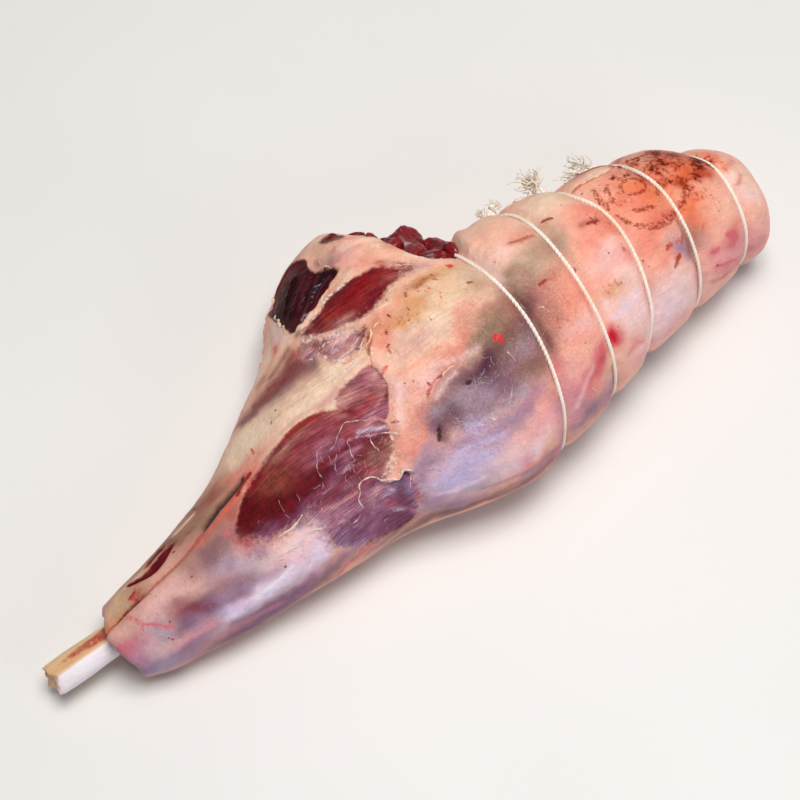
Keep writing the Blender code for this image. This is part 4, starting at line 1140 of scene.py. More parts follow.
class Effects:
    """The shader groups that the finishes share. Places are in millimetres."""

    def __init__(self) -> None:
        """Builds each group once."""
        self.place = self._place()
        self.ragged = self._ragged()
        self.mottle = self._mottle()
        self.fibres = self._fibres()
        self.hairs = self._hairs()
        self.wrinkles = self._wrinkles()

    @staticmethod
    def _place() -> bpy.types.NodeTree:
        """A piece's own coordinates, in millimetres."""
        wires = new_group("place_mm", 3)[0]
        return wires.give(wires.vector("MULTIPLY", wires.here(), (1 / MM, 1 / MM, 1 / MM)))

    @staticmethod
    def _ragged() -> bpy.types.NodeTree:
        """A mask with a ragged edge, from a depth that is 0 on the edge and 1 well inside."""
        wires, depth, place, fineness, raggedness, softness = new_group(
            "ragged_edge", 1, Depth=0.0, Place=ANYWHERE, Fineness=1.0, Raggedness=0.6, Softness=0.3
        )
        rough = wires.noise(wires.scaled(place, fineness), 0.3, 6.0, 0.68) - 0.5
        return wires.give(wires.ramp(depth + rough * 5.0 * raggedness, softness * -1.0, softness))

    @staticmethod
    def _mottle() -> bpy.types.NodeTree:
        """A colour that goes lighter and darker, redder and paler, in patches."""
        wires, colour, place, fineness, depth = new_group(
            "mottled_tone", 4, Colour=(0.8, 0.5, 0.4, 1.0), Place=ANYWHERE, Fineness=1.0, Depth=0.1
        )
        near = wires.scaled(place, fineness)
        level = (wires.noise(near, 1.0, 4.0, 0.6) - 0.5) * 3.0 * depth + 1.0
        apart = wires.vector("ADD", near, (31.0, 17.0, 53.0))
        blush = (wires.noise(apart, 0.7, 2.0) - 0.5) * 1.6 * depth
        tilt = wires.joined(level, level - blush, level - blush * 0.7)
        return wires.give(wires.vector("MULTIPLY", colour, tilt))

    @staticmethod
    def _fibres() -> bpy.types.NodeTree:
        """Long fine lines that follow the grain, from 0 to 1."""
        wires, grain, width, length = new_group("grain_lines", 1, Grain=ANYWHERE, Width=1.0, Length=14.0)
        parts = wires.add("ShaderNodeSeparateXYZ", grain).outputs
        across, along = Signal(wires, parts[0]), Signal(wires, parts[1])
        return wires.give(wires.noise(wires.joined(across / width, along / length), 1.0, 3.0, 0.65))

    @staticmethod
    def _hairs() -> bpy.types.NodeTree:
        """Scattered short curling threads, from 0 to 1."""
        wires, place, amount = new_group("loose_threads", 1, Place=ANYWHERE, Amount=0.5)
        line = wires.maths("ABSOLUTE", wires.noise(place, 0.33, 1.5, 0.6) - 0.5)
        few = wires.noise(wires.vector("ADD", place, (71.0, 37.0, 13.0)), 0.28, 2.0, 0.7)
        level = 0.78 - amount * 0.3
        return wires.give(wires.ramp(line, 0.0, 0.014, 1.0, 0.0) * wires.ramp(few, level, level + 0.06))

    @staticmethod
    def _wrinkles() -> bpy.types.NodeTree:
        """The fine relief of moist skin, in millimetres."""
        wires, place, height = new_group("fine_relief", 1, Place=ANYWHERE, Height=0.1)
        broad, grain = wires.noise(place, 0.32, 5.0, 0.6), wires.noise(place, 1.6, 3.0, 0.6)
        return wires.give((grain * 0.35 + broad) * height)


class Dressing(Wiring):
    """The wiring of one material, with the shared effects at hand."""

    def __init__(self, name: str, effects: Effects) -> None:
        """Starts the material."""
        self.material = bpy.data.materials.new(name)
        self.material.use_nodes = True
        super().__init__(self.material.node_tree)
        self.effects = effects
        self.place = self.group(effects.place)

    def mottled(self, colour: Signal, *layers: tuple, place: Signal | None = None) -> Signal:
        """A colour broken up in patches, once for each fineness and depth."""
        for fineness, depth in layers:
            colour = self.group(self.effects.mottle, Colour=colour, Place=place or self.place,
                                Fineness=fineness, Depth=depth)
        return colour

    def ragged(self, depth: Signal, fineness: float, raggedness: float, softness: float) -> Signal:
        """A mask with a ragged edge."""
        return self.group(self.effects.ragged, Depth=depth, Place=self.place, Fineness=fineness,
                          Raggedness=raggedness, Softness=softness)

    def lines(self, grain: Signal, width: float, length: float) -> Signal:
        """Fine lines along the grain."""
        return self.group(self.effects.fibres, Grain=grain, Width=width, Length=length)

    def wrinkled(self, height: float) -> Signal:
        """Fine relief of that height."""
        return self.group(self.effects.wrinkles, Place=self.place, Height=height)

    def shade(self, colour: Signal, height: Signal, strength: float, **values: object) -> bpy.types.Material:
        """Feeds the shader.

        Args:
            colour: The base colour.
            height: The fine relief, in millimetres.
            strength: How strongly the relief shows.
            **values: The shader's other sockets.

        Returns:
            The finished material.
        """
        bump = self.feed_named(self.add("ShaderNodeBump"), Distance=MM, Strength=strength, Height=height)
        shader = self.tree.nodes["Principled BSDF"]
        self.feed_named(shader, Base_Color=colour, Normal=Signal(self, bump.outputs[0]), **values)
        return self.material


# ---------------------------------------------------------------- the finishes


@dataclass(frozen=True)
class SkinFinish:
    """The finish of the whole skin: fat, silverskin, bare flesh, blood, stains and ink."""

    name: str = "leg_skin"
    thread: Tint = (0.86, 0.74, 0.68)
    hair: Tint = (0.80, 0.58, 0.55)

    def make(self, effects: Effects) -> bpy.types.Material:
        """Builds the material, which lays what is painted on the mesh layer upon layer."""
        wires = Dressing(self.name, effects)
        place = wires.place
        fibre, coarse = wires.painted("fibre"), wires.painted("coarse")
        lines = wires.lines(wires.painted("grain", "Vector"), 0.9, 16.0)

        # fat and silverskin, whose painted tones hold some painted sheen and shade, and bare flesh with a
        # pale torn rim
        fat = wires.mottled(wires.painted("fat_tone", "Color"), (0.13, 0.15), (0.6, coarse * 0.30 + 0.09),
                            (1.9, coarse * 0.34 + 0.07))
        fat = wires.shaded(fat, (lines - 0.5) * fibre * 0.9 + 1.0)
        flesh = wires.mottled(wires.painted("flesh_tone", "Color"), (0.22, 0.4), (1.3, 0.3))
        flesh = wires.shaded(flesh, (lines - 0.5) * 2.6 + 1.0)
        edge = wires.painted("flesh_edge")
        colour = wires.mix(wires.ragged(edge, 1.1, 0.6, 1.0), fat, flesh)
        rim = wires.painted("rim") - wires.maths("ABSOLUTE", edge)
        colour = wires.mix(wires.ragged(rim, 1.5, 1.3, 0.4) * 0.8, colour, self.thread)

        # a veil of film
        film = wires.painted("film")
        broken = film + (wires.noise(place, 0.4, 5.0, 0.65) * 1.5 - 0.75) + (lines * 0.8 - 0.4)
        colour = wires.mix(wires.ramp(broken, 0.25, 0.8) * film * 0.95, colour, FROST.light)

        # a wash of stain with a dark crust in it, and ink that has worn away in places
        stain = wires.painted("stain")
        soak = stain + (wires.noise(place, 0.36, 6.0, 0.70) * 2.4 - 1.2)
        wash = wires.ramp(soak, 0.30, 0.75) * wires.ramp(stain, 0.0, 0.25)
        colour = wires.mix(wash * 0.78, colour, RUST.light)
        crust = wires.ramp(soak, 0.66, 0.90) * wires.ramp(stain, 0.05, 0.35)
        colour = wires.mix(crust * 0.95, colour, BARK.light)
        worn = wires.ramp(wires.noise(place, 0.5, 4.0, 0.7), 0.36, 0.56)
        ink = wires.ragged(wires.painted("ink_edge"), 1.3, 0.8, 0.4) * worn
        colour = wires.mix(ink * 0.8, colour, RUSTY.light)

        # marks, hairs and threads
        mark = wires.ragged(wires.painted("mark_edge"), 2.3, 0.5, 0.6)
        colour = wires.mix(mark * 0.88, colour, wires.painted("mark_tone", "Color"))
        hairs = wires.group(effects.hairs, Place=place, Amount=coarse) * wires.ramp(coarse, 0.05, 0.5)
        colour = wires.mix(hairs * 0.55, colour, self.hair)
        thread = wires.ragged(wires.painted("thread_edge"), 1.7, 0.5, 0.4)
        colour = wires.mix(thread * 0.9, colour, self.thread)

        wet = wires.painted("wet")
        rough = wires.ramp(wires.noise(place, 0.18, 4.0, 0.6), 0.3, 0.7, 0.36, 0.60) - wet * 0.16
        raised = lines * (fibre * 0.3 + 0.05) + wires.maths("MAXIMUM", thread, hairs) * 0.25
        return wires.shade(colour, wires.wrinkled(0.9) + raised, 1.0, Roughness=rough, Coat_Weight=wet * 0.35,
                           Coat_Roughness=0.16, Specular_IOR_Level=0.12, Subsurface_Weight=0.10,
                           Subsurface_Radius=(1.0, 0.4, 0.28), Subsurface_Scale=0.003)


@dataclass(frozen=True)
class FleshFinish:
    """Dark cut flesh, wet, with pale seams of fat."""

    name: str = "cut_flesh"
    seam: Tint = (0.72, 0.42, 0.38)

    def make(self, effects: Effects) -> bpy.types.Material:
        """Builds the material."""
        wires = Dressing(self.name, effects)
        share = wires.ramp(wires.noise(wires.place, 0.12, 3.0), 0.35, 0.65)
        colour = wires.mottled(wires.mix(share, WINE.light, BLOOD.light), (0.5, 0.22))
        lines = wires.lines(wires.place, 1.1, 5.0)
        colour = wires.mix(wires.ramp(lines, 0.60, 0.72) * 0.45, colour, self.seam)
        rough = wires.ramp(wires.noise(wires.place, 0.4, 2.0), 0.3, 0.7, 0.22, 0.45)
        return wires.shade(colour, lines * 0.3 + wires.wrinkled(0.8), 0.8, Roughness=rough, Coat_Weight=0.3,
                           Coat_Roughness=0.15, Subsurface_Weight=0.1, Subsurface_Radius=(1.0, 0.3, 0.2),
                           Subsurface_Scale=0.003)


@dataclass(frozen=True)
class MembraneFinish:
    """Thin wet threads of membrane, nearly white."""

    name: str = "membrane"
    tone: Tint = (0.88, 0.74, 0.72)
    warm: Tint = (0.82, 0.52, 0.47)

    def make(self, effects: Effects) -> bpy.types.Material:
        """Builds the material."""
        wires = Dressing(self.name, effects)
        share = wires.ramp(wires.noise(wires.place, 0.09, 3.0), 0.4, 0.6)
        colour = wires.mottled(wires.mix(share, self.tone, self.warm), (0.9, 0.16))
        return wires.shade(colour, wires.noise(wires.place, 2.0, 3.0) * 0.12, 0.6, Roughness=0.4,
                           Subsurface_Weight=0.15, Subsurface_Scale=0.001)


@dataclass(frozen=True)
class LipFinish:
    """Torn fat: cream and pink, bloody in places."""

    name: str = "torn_fat"

    def make(self, effects: Effects) -> bpy.types.Material:
        """Builds the material."""
        wires = Dressing(self.name, effects)
        share = wires.ramp(wires.noise(wires.place, 0.14, 4.0, 0.6), 0.4, 0.62)
        colour = wires.mix(share, CREAM.light, SALMON.light)
        spots = wires.vector("ADD", wires.place, (13.0, 5.0, 8.0))
        bloody = wires.ramp(wires.noise(spots, 0.3, 4.0, 0.7), 0.58, 0.68)
        colour = wires.mottled(wires.mix(bloody * 0.8, colour, CORAL.light), (0.9, 0.16))
        return wires.shade(colour, wires.wrinkled(0.6), 0.9, Roughness=0.5, Specular_IOR_Level=0.2,
                           Subsurface_Weight=0.12, Subsurface_Radius=(1.0, 0.4, 0.28), Subsurface_Scale=0.002)


@dataclass(frozen=True)
class BoneFinish:
    """Dry bone: tan on one side, chalky on the other with a painted highlight in that pale side, and a streak
    of blood.
    """

    name: str = "dry_bone"
    blood: Tint = (0.42, 0.025, 0.025)

    def make(self, effects: Effects) -> bpy.types.Material:
        """Builds the material, which reads the tones painted on the mesh."""
        wires = Dressing(self.name, effects)
        along = wires.vector("MULTIPLY", wires.place, (0.12, 1.0, 1.0))
        colour = wires.mottled(wires.painted("bone_tone", "Color"), (0.5, 0.12), place=along)
        colour = wires.mottled(colour, (1.4, 0.08))
        patchy = wires.ramp(wires.noise(wires.place, 0.35, 4.0, 0.65), 0.25, 0.6, 0.5, 0.95)
        blood = wires.ragged(wires.painted("blood_edge"), 0.6, 0.9, 1.2) * patchy
        rough = wires.ramp(wires.noise(along, 0.6, 3.0), 0.3, 0.7, 0.42, 0.62)
        bloody = wires.mix(blood, colour, self.blood)
        return wires.shade(bloody, wires.noise(along, 1.3, 4.0, 0.6) * 0.35, 0.8, Roughness=rough,
                           Subsurface_Weight=0.08, Subsurface_Radius=(1.0, 0.7, 0.5),
                           Subsurface_Scale=0.002)


@dataclass(frozen=True)
class TwineFinish:
    """Cotton twine: cream, a little greasy, pink where it has soaked."""

    name: str = "cotton_twine"
    cream: Tint = (0.86, 0.77, 0.62)
    pale: Tint = (0.92, 0.87, 0.81)
    soaked: Tint = (0.75, 0.35, 0.33)

    def make(self, effects: Effects) -> bpy.types.Material:
        """Builds the material."""
        wires = Dressing(self.name, effects)
        share = wires.ramp(wires.noise(wires.place, 0.05, 3.0), 0.35, 0.65)
        colour = wires.mix(share, self.cream, self.pale)
        apart = wires.vector("ADD", wires.place, (9.0, 4.0, 2.0))
        wet = wires.ramp(wires.noise(apart, 0.07, 4.0, 0.7), 0.62, 0.74)
        colour = wires.mottled(wires.mix(wet * 0.55, colour, self.soaked), (1.6, 0.14))
        return wires.shade(colour, wires.noise(wires.place, 3.5, 3.0) * 0.12, 0.7, Roughness=0.78,
                           Sheen_Weight=0.2, Subsurface_Weight=0.05, Subsurface_Scale=0.001)


@dataclass(frozen=True)
class FloorFinish:
    """A plain pale floor."""

    name: str = "pale_floor"
    tone: Tint = (0.80, 0.79, 0.78)
    light: Tint = (0.83, 0.82, 0.81)

    def make(self) -> bpy.types.Material:
        """Builds the material."""
        made = bpy.data.materials.new(self.name)
        made.use_nodes = True
        wires = Wiring(made.node_tree)
        share = wires.ramp(wires.noise(wires.here(), 3.0, 2.0), 0.3, 0.7)
        colour = wires.mix(share, self.tone, self.light)
        wires.feed_named(made.node_tree.nodes["Principled BSDF"], Base_Color=colour, Roughness=0.6)
        return made


# ---------------------------------------------------------------- pieces


def add_piece(
    name: str, mesh: bpy.types.Mesh, finish: bpy.types.Material, slot: Slot, *nodes: str
) -> bpy.types.Object:
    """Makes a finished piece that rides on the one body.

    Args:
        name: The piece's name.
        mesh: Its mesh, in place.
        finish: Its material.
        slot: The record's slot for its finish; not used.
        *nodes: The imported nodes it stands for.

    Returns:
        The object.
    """
    mesh.name = name
    mesh.materials.clear()
    mesh.materials.append(finish)
    mesh.shade_smooth()
    made = bpy.data.objects.new(name, mesh)
    bpy.context.scene.collection.objects.link(made)
    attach(made, "root")
    if nodes:
        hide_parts(*nodes)
    LOG.info("%s: %d vertices, %d faces", name, len(mesh.vertices), len(mesh.polygons))
    return made


def paint_value(mesh: bpy.types.Mesh, name: str, values: np.ndarray) -> None:
    """Paints one value on each vertex of a mesh."""
    mesh.attributes.new(name, "FLOAT", "POINT").data.foreach_set("value", values)


def paint_colour(mesh: bpy.types.Mesh, name: str, tone: np.ndarray) -> None:
    """Paints one colour on each vertex of a mesh."""
    solid = np.hstack((tone, np.ones((len(tone), 1))))
    mesh.attributes.new(name, "FLOAT_COLOR", "POINT").data.foreach_set("color", solid.ravel())


def wrapped_mesh(
    name: str, rings: np.ndarray, first: np.ndarray, last: np.ndarray
) -> tuple[bpy.types.Mesh, np.ndarray]:
    """A closed skin over rings of points, made from a sphere whose rows and columns match them.

    Args:
        name: The mesh's name.
        rings: Points as an array of rings, columns and the three axes.
        first: The point that closes the first ring.
        last: The point that closes the last ring.

    Returns:
        The mesh, and for each of its vertices the flat index of its ring point.
    """
    rows, columns = rings.shape[0] + 1, rings.shape[1]
    bm = bmesh.new()
    bmesh.ops.create_uvsphere(bm, u_segments=columns, v_segments=rows, radius=1.0)
    co = np.array([vert.co for vert in bm.verts])
    row = np.rint(np.arccos(np.clip(co[:, 2], -1, 1)) / math.pi * rows).astype(int)
    column = np.rint(np.arctan2(co[:, 1], co[:, 0]) / (2 * math.pi) * columns).astype(int) % columns
    source = np.clip(row - 1, 0, rows - 2) * columns + np.where((row == 0) | (row == rows), 0, column)
    placed = rings.reshape(-1, 3)[source]
    placed[row == 0], placed[row == rows] = first, last
    for vert, point in zip(bm.verts, placed.tolist()):
        vert.co = point
    bmesh.ops.recalc_face_normals(bm, faces=bm.faces)
    mesh = bpy.data.meshes.new(name)
    bm.to_mesh(mesh)
    bm.free()
    return mesh, source


@dataclass
class Skin:
    """The whole outside of the meat, with its relief and everything painted on it."""

    form: LegForm
    columns: int = 256
    socket_rings: int = 8
    face_rings: int = 8
    body_rings: int = 340
    butt_rings: int = 10
    rim_round: float = 0.004
    butt_round: float = 0.011
    socket_end: float = 0.1703
    rim: tuple[Row, Row] = (
        (0, 20, 40, 50, 70, 80, 90, 100, 120, 140, 160, 180, 230, 300, 360),
        (43, 42, 40, 40, 37, 35.3, 34.2, 35, 36, 38, 41, 41, 42, 43, 43),
    )
    rim_reach: float = 0.014
    socket: tuple[Row, Row] = (
        (-0.004, 0.012, 0.030, 0.060, 0.110, 0.170), (0.9, 1.03, 0.98, 0.95, 0.98, 1.08),
    )

    def column_turns(self) -> np.ndarray:
        """Where the columns go round the leg: close together where most is to be seen."""
        fine = np.linspace(0, 360, 3601)
        seen = eased(fine, 348, 356) + 1 - eased(fine, 205, 222)
        total = np.concatenate(([0], np.cumsum(0.34 + 0.66 * seen[1:])))
        return np.interp(np.arange(self.columns) / self.columns, total / total[-1], fine)

    def stations(self) -> tuple[np.ndarray, np.ndarray]:
        """Where the body's rings go along the leg and how far each is drawn in, in metres."""
        first, last = self.form.cut + self.rim_round, self.form.end - self.butt_round
        fine = np.linspace(first, last, 4001)
        crowd = 1 + 0.42 * eased(fine, 0.105, 0.125) * (1 - eased(fine, 0.333, 0.350))
        total = np.concatenate(([0], np.cumsum(crowd[1:])))
        body = np.interp(np.linspace(0, 1, self.body_rings), total / total[-1], fine)
        lean = np.radians(np.linspace(90, 0, 6)[:-1])
        rim_x, rim_in = first - self.rim_round * np.sin(lean), self.rim_round * (1 - np.cos(lean))
        lean = np.radians(np.linspace(0, 90, 11)[1:])
        butt_x, butt_in = last + self.butt_round * np.sin(lean), self.butt_round * (1 - np.cos(lean))
        return np.concatenate((rim_x, body, butt_x)), np.concatenate((rim_in, 0 * body, butt_in))

    def base(self) -> tuple[np.ndarray, np.ndarray, np.ndarray, np.ndarray, np.ndarray]:
        """The smooth skin as rings of points, with each point's place and turn and the two poles."""
        turns = self.column_turns()
        x, inset = self.stations()
        body = self.form.points(x[:, None], turns[None, :], inset[:, None])
        shift = (np.interp(turns, *self.rim) - self.form.cut / MM) * MM
        body[..., 0] += shift[None, :] * np.exp(-np.maximum(x - self.form.cut, 0) / self.rim_reach)[:, None]
        hole_x = np.append(np.linspace(self.socket_end, 0.052, self.socket_rings - 1), 0.0445)
        share = np.interp(hole_x, *self.socket)
        hole = self.form.bone_points(hole_x[:, None], turns[None, :], share[:, None], 0.0003)
        step = np.linspace(0, 1, self.face_rings + 2)[1:-1, None, None]
        face = hole[-1] * (1 - step) + body[0] * step
        face[..., 0] += 0.0012 * np.sin(math.pi * step[..., 0])
        step = np.linspace(0, 1, self.butt_rings + 2)[1:-1, None, None]
        middle = body[-1].mean(axis=0)
        butt = body[-1] * (1 - step) + middle * step
        butt[..., 0] += 0.002 * np.sin(math.pi * step[..., 0] / 2)
        rings = np.concatenate((hole, face, body, butt))
        before, after = np.linspace(31, 38, self.face_rings), np.linspace(504, 530, self.butt_rings)
        along = np.concatenate((np.full(self.socket_rings, 30.0), before, x / MM, after))
        place = np.repeat(along[:, None], self.columns, axis=1)
        degrees = np.repeat(np.where(turns > 290, turns - 360, turns)[None, :], len(along), axis=0)
        return rings, place, degrees, hole[0].mean(axis=0), middle + np.array((0.002, 0, 0))

    @staticmethod
    def relief(skin: SkinMap, points: np.ndarray, edges: dict[str, np.ndarray]) -> np.ndarray:
        """How far the skin stands out at each vertex, in millimetres."""
        height = layered(points, UNEVEN) - eased(edges["flesh_edge"], -0.7, 2.0)
        height += np.clip(skin.dabs(SHREDDED), 0, 1) * layered(points, SHREDS)
        height -= 1.3 * eased(edges["dried"], -0.5, 3.0)
        height += eased(edges["notch"], -1.0, 5.0) * (layered(points, RUGGED) - 3.4)
        for path, rise, spread in FOLDS:
            height += rise * skin.crest(path, spread)
        chipped = 1.4 + 1.2 * lumps(points, 0.008, 2.2)
        for path in DRIED_RIDGES:
            height += skin.crest(path, 1.0) * chipped
        for path, _ in THREADS:
            height += 0.4 * skin.crest(path, 0.8)
        puckers = 0.55 * eased(skin.degrees, 95, 150) * lumps(points, 0.006, 6.1, (0.35, 1, 1))
        for loop in LOOPS:
            apart = skin.x - loop.place / MM
            height += puckers * np.exp(-((apart / 9.0) ** 2)) - 0.8 * np.exp(-((apart / 1.7) ** 2))
        height += 0.3 * edges["fibre"] * lumps(skin.grain * MM, 0.0022, 8.8, (1, 0.12, 1))
        return height * eased(skin.x, 33, 42) * (1 - 0.6 * eased(skin.x, 503, 512))

    @staticmethod
    def grain(skin: SkinMap) -> tuple[np.ndarray, np.ndarray]:
        """The grain's own coordinates in millimetres, and how strongly each vertex shows it."""
        grain = skin.flat()[:, [1, 0, 2]]
        strength = 0.27 + skin.dabs(GRAINY)
        for guide, outline, power in GRAIN_FIELDS:
            inside = skin.region(outline)
            here = inside > -2.0
            grain[here, 0] = to_path(skin.x, skin.s, rounded(guide, rounds=3))[0][here]
            strength = np.maximum(strength, power * eased(inside, -1.0, 2.5))
        return grain, strength

    def build(self, effects: Effects) -> "Surface":
        """Makes the skin, presses its relief into it, paints it and dresses it."""
        rings, place, degrees, first, last = self.base()
        skin = SkinMap(place.ravel(), degrees.ravel())
        soft = 1 + skin.dabs(FEATHERED)
        depth = np.max([skin.region(outline) / feather / soft for outline, feather in FLESH], axis=0)
        edges = {"flesh_edge": np.clip(depth, -6, 6)}
        edges["dried"] = skin.region(DRIED_FLAP)
        edges["notch"] = skin.region(NOTCH_FLESH)
        skin.grain, edges["fibre"] = self.grain(skin)
        outward = np.cross(np.roll(rings, -1, axis=1) - np.roll(rings, 1, axis=1), np.gradient(rings, axis=0))
        outward /= np.linalg.norm(outward, axis=-1, keepdims=True) + 1e-12
        height = self.relief(skin, rings.reshape(-1, 3), edges).reshape(rings.shape[:2])
        height[: self.socket_rings + 1] = 0.0
        shaped = rings + outward * height[..., None] * MM
        shaped[..., 2] = np.maximum(shaped[..., 2], 0.0)
        shift = np.array(self.form.origin)
        mesh, source = wrapped_mesh("mutton", shaped + shift, first + shift, last + shift)
        self.paint(mesh, skin, edges, source)
        add_piece("mutton", mesh, SkinFinish().make(effects), Slot.MEAT, "meat")
        return Surface(shaped + shift, outward, place[:, 0], self.column_turns())

    def paint(
        self, mesh: bpy.types.Mesh, skin: SkinMap, edges: dict[str, np.ndarray], source: np.ndarray
    ) -> None:
        """Paints every layer on the mesh, for the finish to read."""
        best = np.full(skin.x.shape, -REACH)
        tone = np.tile(np.array(BRICK.light), (len(skin.x), 1))
        for path, half, hue in (*self.specks(), *MARKS):
            depth = skin.stroke(path, half)
            tone[depth > best] = hue.light
            best = np.maximum(best, depth)
        layers = {
            "flesh_edge": np.maximum(edges["flesh_edge"], eased(-skin.x, -39, -35) * 4 - 2),
            "fibre": edges["fibre"],
            "mark_edge": best,
            "thread_edge": np.max([skin.stroke(path, half) for path, half in THREADS], axis=0),
            "ink_edge": np.max([skin.stroke(path, INK_HALF) for path in INK_LINES], axis=0),
            "film": skin.patches(FILMS),
            "stain": skin.patches(STAINS),
            "coarse": np.clip(skin.dabs(COARSE), 0, 1),
            "wet": np.clip(skin.dabs(WET), 0, 1),
            "rim": np.clip(skin.dabs(TORN_EDGES), 0, 1.4) - 1.05,
        }
        for name, values in layers.items():
            paint_value(mesh, name, values[source])
        grain = mesh.attributes.new("grain", "FLOAT_VECTOR", "POINT")
        grain.data.foreach_set("vector", skin.grain[source].ravel())
        paint_colour(mesh, "fat_tone", self.unseen(skin, skin.toned(PEACH, FAT_DABS, FAT_STROKES))[source])
        paint_colour(mesh, "flesh_tone", skin.toned(MAROON, FLESH_DABS, FLESH_STROKES)[source])
        paint_colour(mesh, "mark_tone", tone[source])

    @staticmethod
    def specks() -> list[tuple]:
        """Small specks and short scratches of blood, scattered over the thigh and the roll."""
        draw = np.random.default_rng(5)
        specks = []
        for x, degrees, along, around, count in SPECK_PATCHES:
            for _ in range(count):
                start = np.array((x, degrees)) + draw.normal(0, 1, 2) * (along, around)
                end = start + draw.normal(0, 1, 2) * (1.6, 0.9)
                hue = SPECK_HUES[int(draw.integers(len(SPECK_HUES)))]
                specks.append(((tuple(start), tuple(end)), float(draw.uniform(0.45, 0.8)), hue))
        return specks

    @staticmethod
    def unseen(skin: SkinMap, tone: np.ndarray) -> np.ndarray:
        """The fat's colours, with broad tones over the far side and the underside."""
        flat = skin.flat() * MM
        away = 1 - eased(skin.degrees, -22, 8) * (1 - eased(skin.degrees, 186, 208))
        for size, start, hue, share in UNSEEN_TONES:
            weight = share * away * eased(lumps(flat, size, start), -0.15, 0.45)
            tone += weight[:, None] * (np.array(hue.light) - tone)
        return tone


@dataclass
class Surface:
    """The finished skin as a grid, for laying fine things on it."""

    rings: np.ndarray
    outward: np.ndarray
    along: np.ndarray
    turns: np.ndarray

    def spots(self, points: np.ndarray, lift: np.ndarray | float) -> np.ndarray:
        """Points on the skin, from points of the flat map.

        Args:
            points: Millimetres along the leg and round it from the crest.
            lift: How far off the skin they lie, in millimetres.

        Returns:
            The points, in metres.
        """
        degrees = points[:, 1] / np.interp(points[:, 0], GIRTH_PLACES, GIRTH_STEPS) + 90
        rows, columns = len(self.along), len(self.turns)
        row = np.clip(np.interp(points[:, 0], self.along, np.arange(rows)), 0, rows - 1.001)
        column = np.clip(np.interp(degrees, self.turns, np.arange(columns)), 0, columns - 1.001)
        i, j = row.astype(int), column.astype(int)
        u, v = (row - i)[:, None], (column - j)[:, None]
        made = []
        for grid in (self.rings, self.outward):
            near = grid[i, j] * (1 - v) + grid[i, j + 1] * v
            far = grid[i + 1, j] * (1 - v) + grid[i + 1, j + 1] * v
            made.append(near * (1 - u) + far * u)
        return made[0] + made[1] * np.reshape(lift, (-1, 1)) * MM


@dataclass
class Membranes:
    """Threads, hairs and torn lips of membrane that lie on the skin."""

    surface: Surface
    thread: float = 0.00036
    hair: float = 0.00011
    lip: float = 0.0010
    step: float = 0.8

    def _wavy(self, path: tuple[Place, ...], draw: np.random.Generator, sway: float) -> np.ndarray:
        """A path of the flat map as close points that sway a little to each side."""
        corners = rounded(path, rounds=3)
        run = np.concatenate(([0], np.cumsum(np.linalg.norm(np.diff(corners, axis=0), axis=1))))
        at = np.linspace(0, run[-1], max(8, int(run[-1] / self.step)))
        line = np.stack([np.interp(at, run, corners[:, k]) for k in range(2)], axis=1)
        for wave in (9.0, 4.0, 2.2):
            phase = draw.uniform(0, 2 * math.pi, 2)
            line += sway * wave / 9.0 * np.sin(at[:, None] * 2 * math.pi / wave + phase)
        return line

    def _threads(self) -> list[tuple[np.ndarray, np.ndarray]]:
        """The long threads, each with its thickness along it."""
        draw = np.random.default_rng(41)
        made = []
        for path, half in THREADS:
            line = self._wavy(path, draw, 0.35)
            share = np.sqrt(np.clip(np.sin(np.linspace(0.03, 3.11, len(line))), 0.02, 1))
            ripple = np.sin(np.linspace(0, len(line) * 0.9, len(line)) + draw.uniform(0, 6))
            share *= half / 0.5 * (0.75 + 0.45 * ripple)
            made.append((self.surface.spots(line, 0.12), np.clip(share, 0.12, 1.3)))
        return made

    def _hairs(self) -> list[tuple[np.ndarray, np.ndarray]]:
        """Short curling hairs of membrane, scattered where the skin is rough."""
        draw = np.random.default_rng(7)
        made = []
        for x, degrees, along, around, count in HAIR_PATCHES:
            for _ in range(count):
                start = on_map(((x, degrees),))[0] + draw.normal(0, 1, 2) * (along, around)
                way, curl = draw.uniform(0, 2 * math.pi), draw.normal(0, 0.16)
                spots = [start]
                for _ in range(int(draw.integers(3, 9))):
                    spots.append(spots[-1] + 0.62 * np.array((math.cos(way), math.sin(way))))
                    way += curl + draw.normal(0, 0.22)
                line = np.array(spots)
                lift = 0.10 + 0.35 * np.sin(np.linspace(0, math.pi, len(line))) * draw.uniform(0, 1)
                share = np.linspace(1, 0.5, len(line)) * draw.uniform(0.7, 1.4)
                made.append((self.surface.spots(line, lift), share))
        return made

    def _lips(self) -> list[tuple[np.ndarray, np.ndarray]]:
        """The raised torn edges of the fat and the membranes."""
        draw = np.random.default_rng(19)
        made = []
        for path, size in LIPS:
            line = self._wavy(path, draw, 0.5)
            ends = np.sqrt(np.clip(np.sin(np.linspace(0.05, 3.09, len(line))), 0.05, 1))
            at = np.arange(len(line)) * self.step
            rough = 0.8 + sum(0.3 * np.sin(at / wave + draw.uniform(0, 6)) for wave in (1.7, 0.8))
            made.append((self.surface.spots(line, -0.25 * size), np.clip(size * ends * rough, 0.15, 2.0)))
        return made

    def build(self, effects: Effects) -> None:
        """Makes the threads, the hairs and the lips, each as one piece."""
        pale, torn = MembraneFinish().make(effects), LipFinish().make(effects)
        fine = MembraneFinish("fine_hairs", (0.74, 0.56, 0.55), (0.66, 0.36, 0.34)).make(effects)
        for name, lines, half, sides, finish in (
            ("membrane_threads", self._threads(), self.thread, 1, pale),
            ("membrane_hairs", self._hairs(), self.hair, 0, fine),
            ("torn_lips", self._lips(), self.lip, 2, torn),
        ):
            paths, shares = zip(*lines)
            add_piece(name, curve_mesh(paths, half, False, sides, shares), finish, Slot.MEAT)


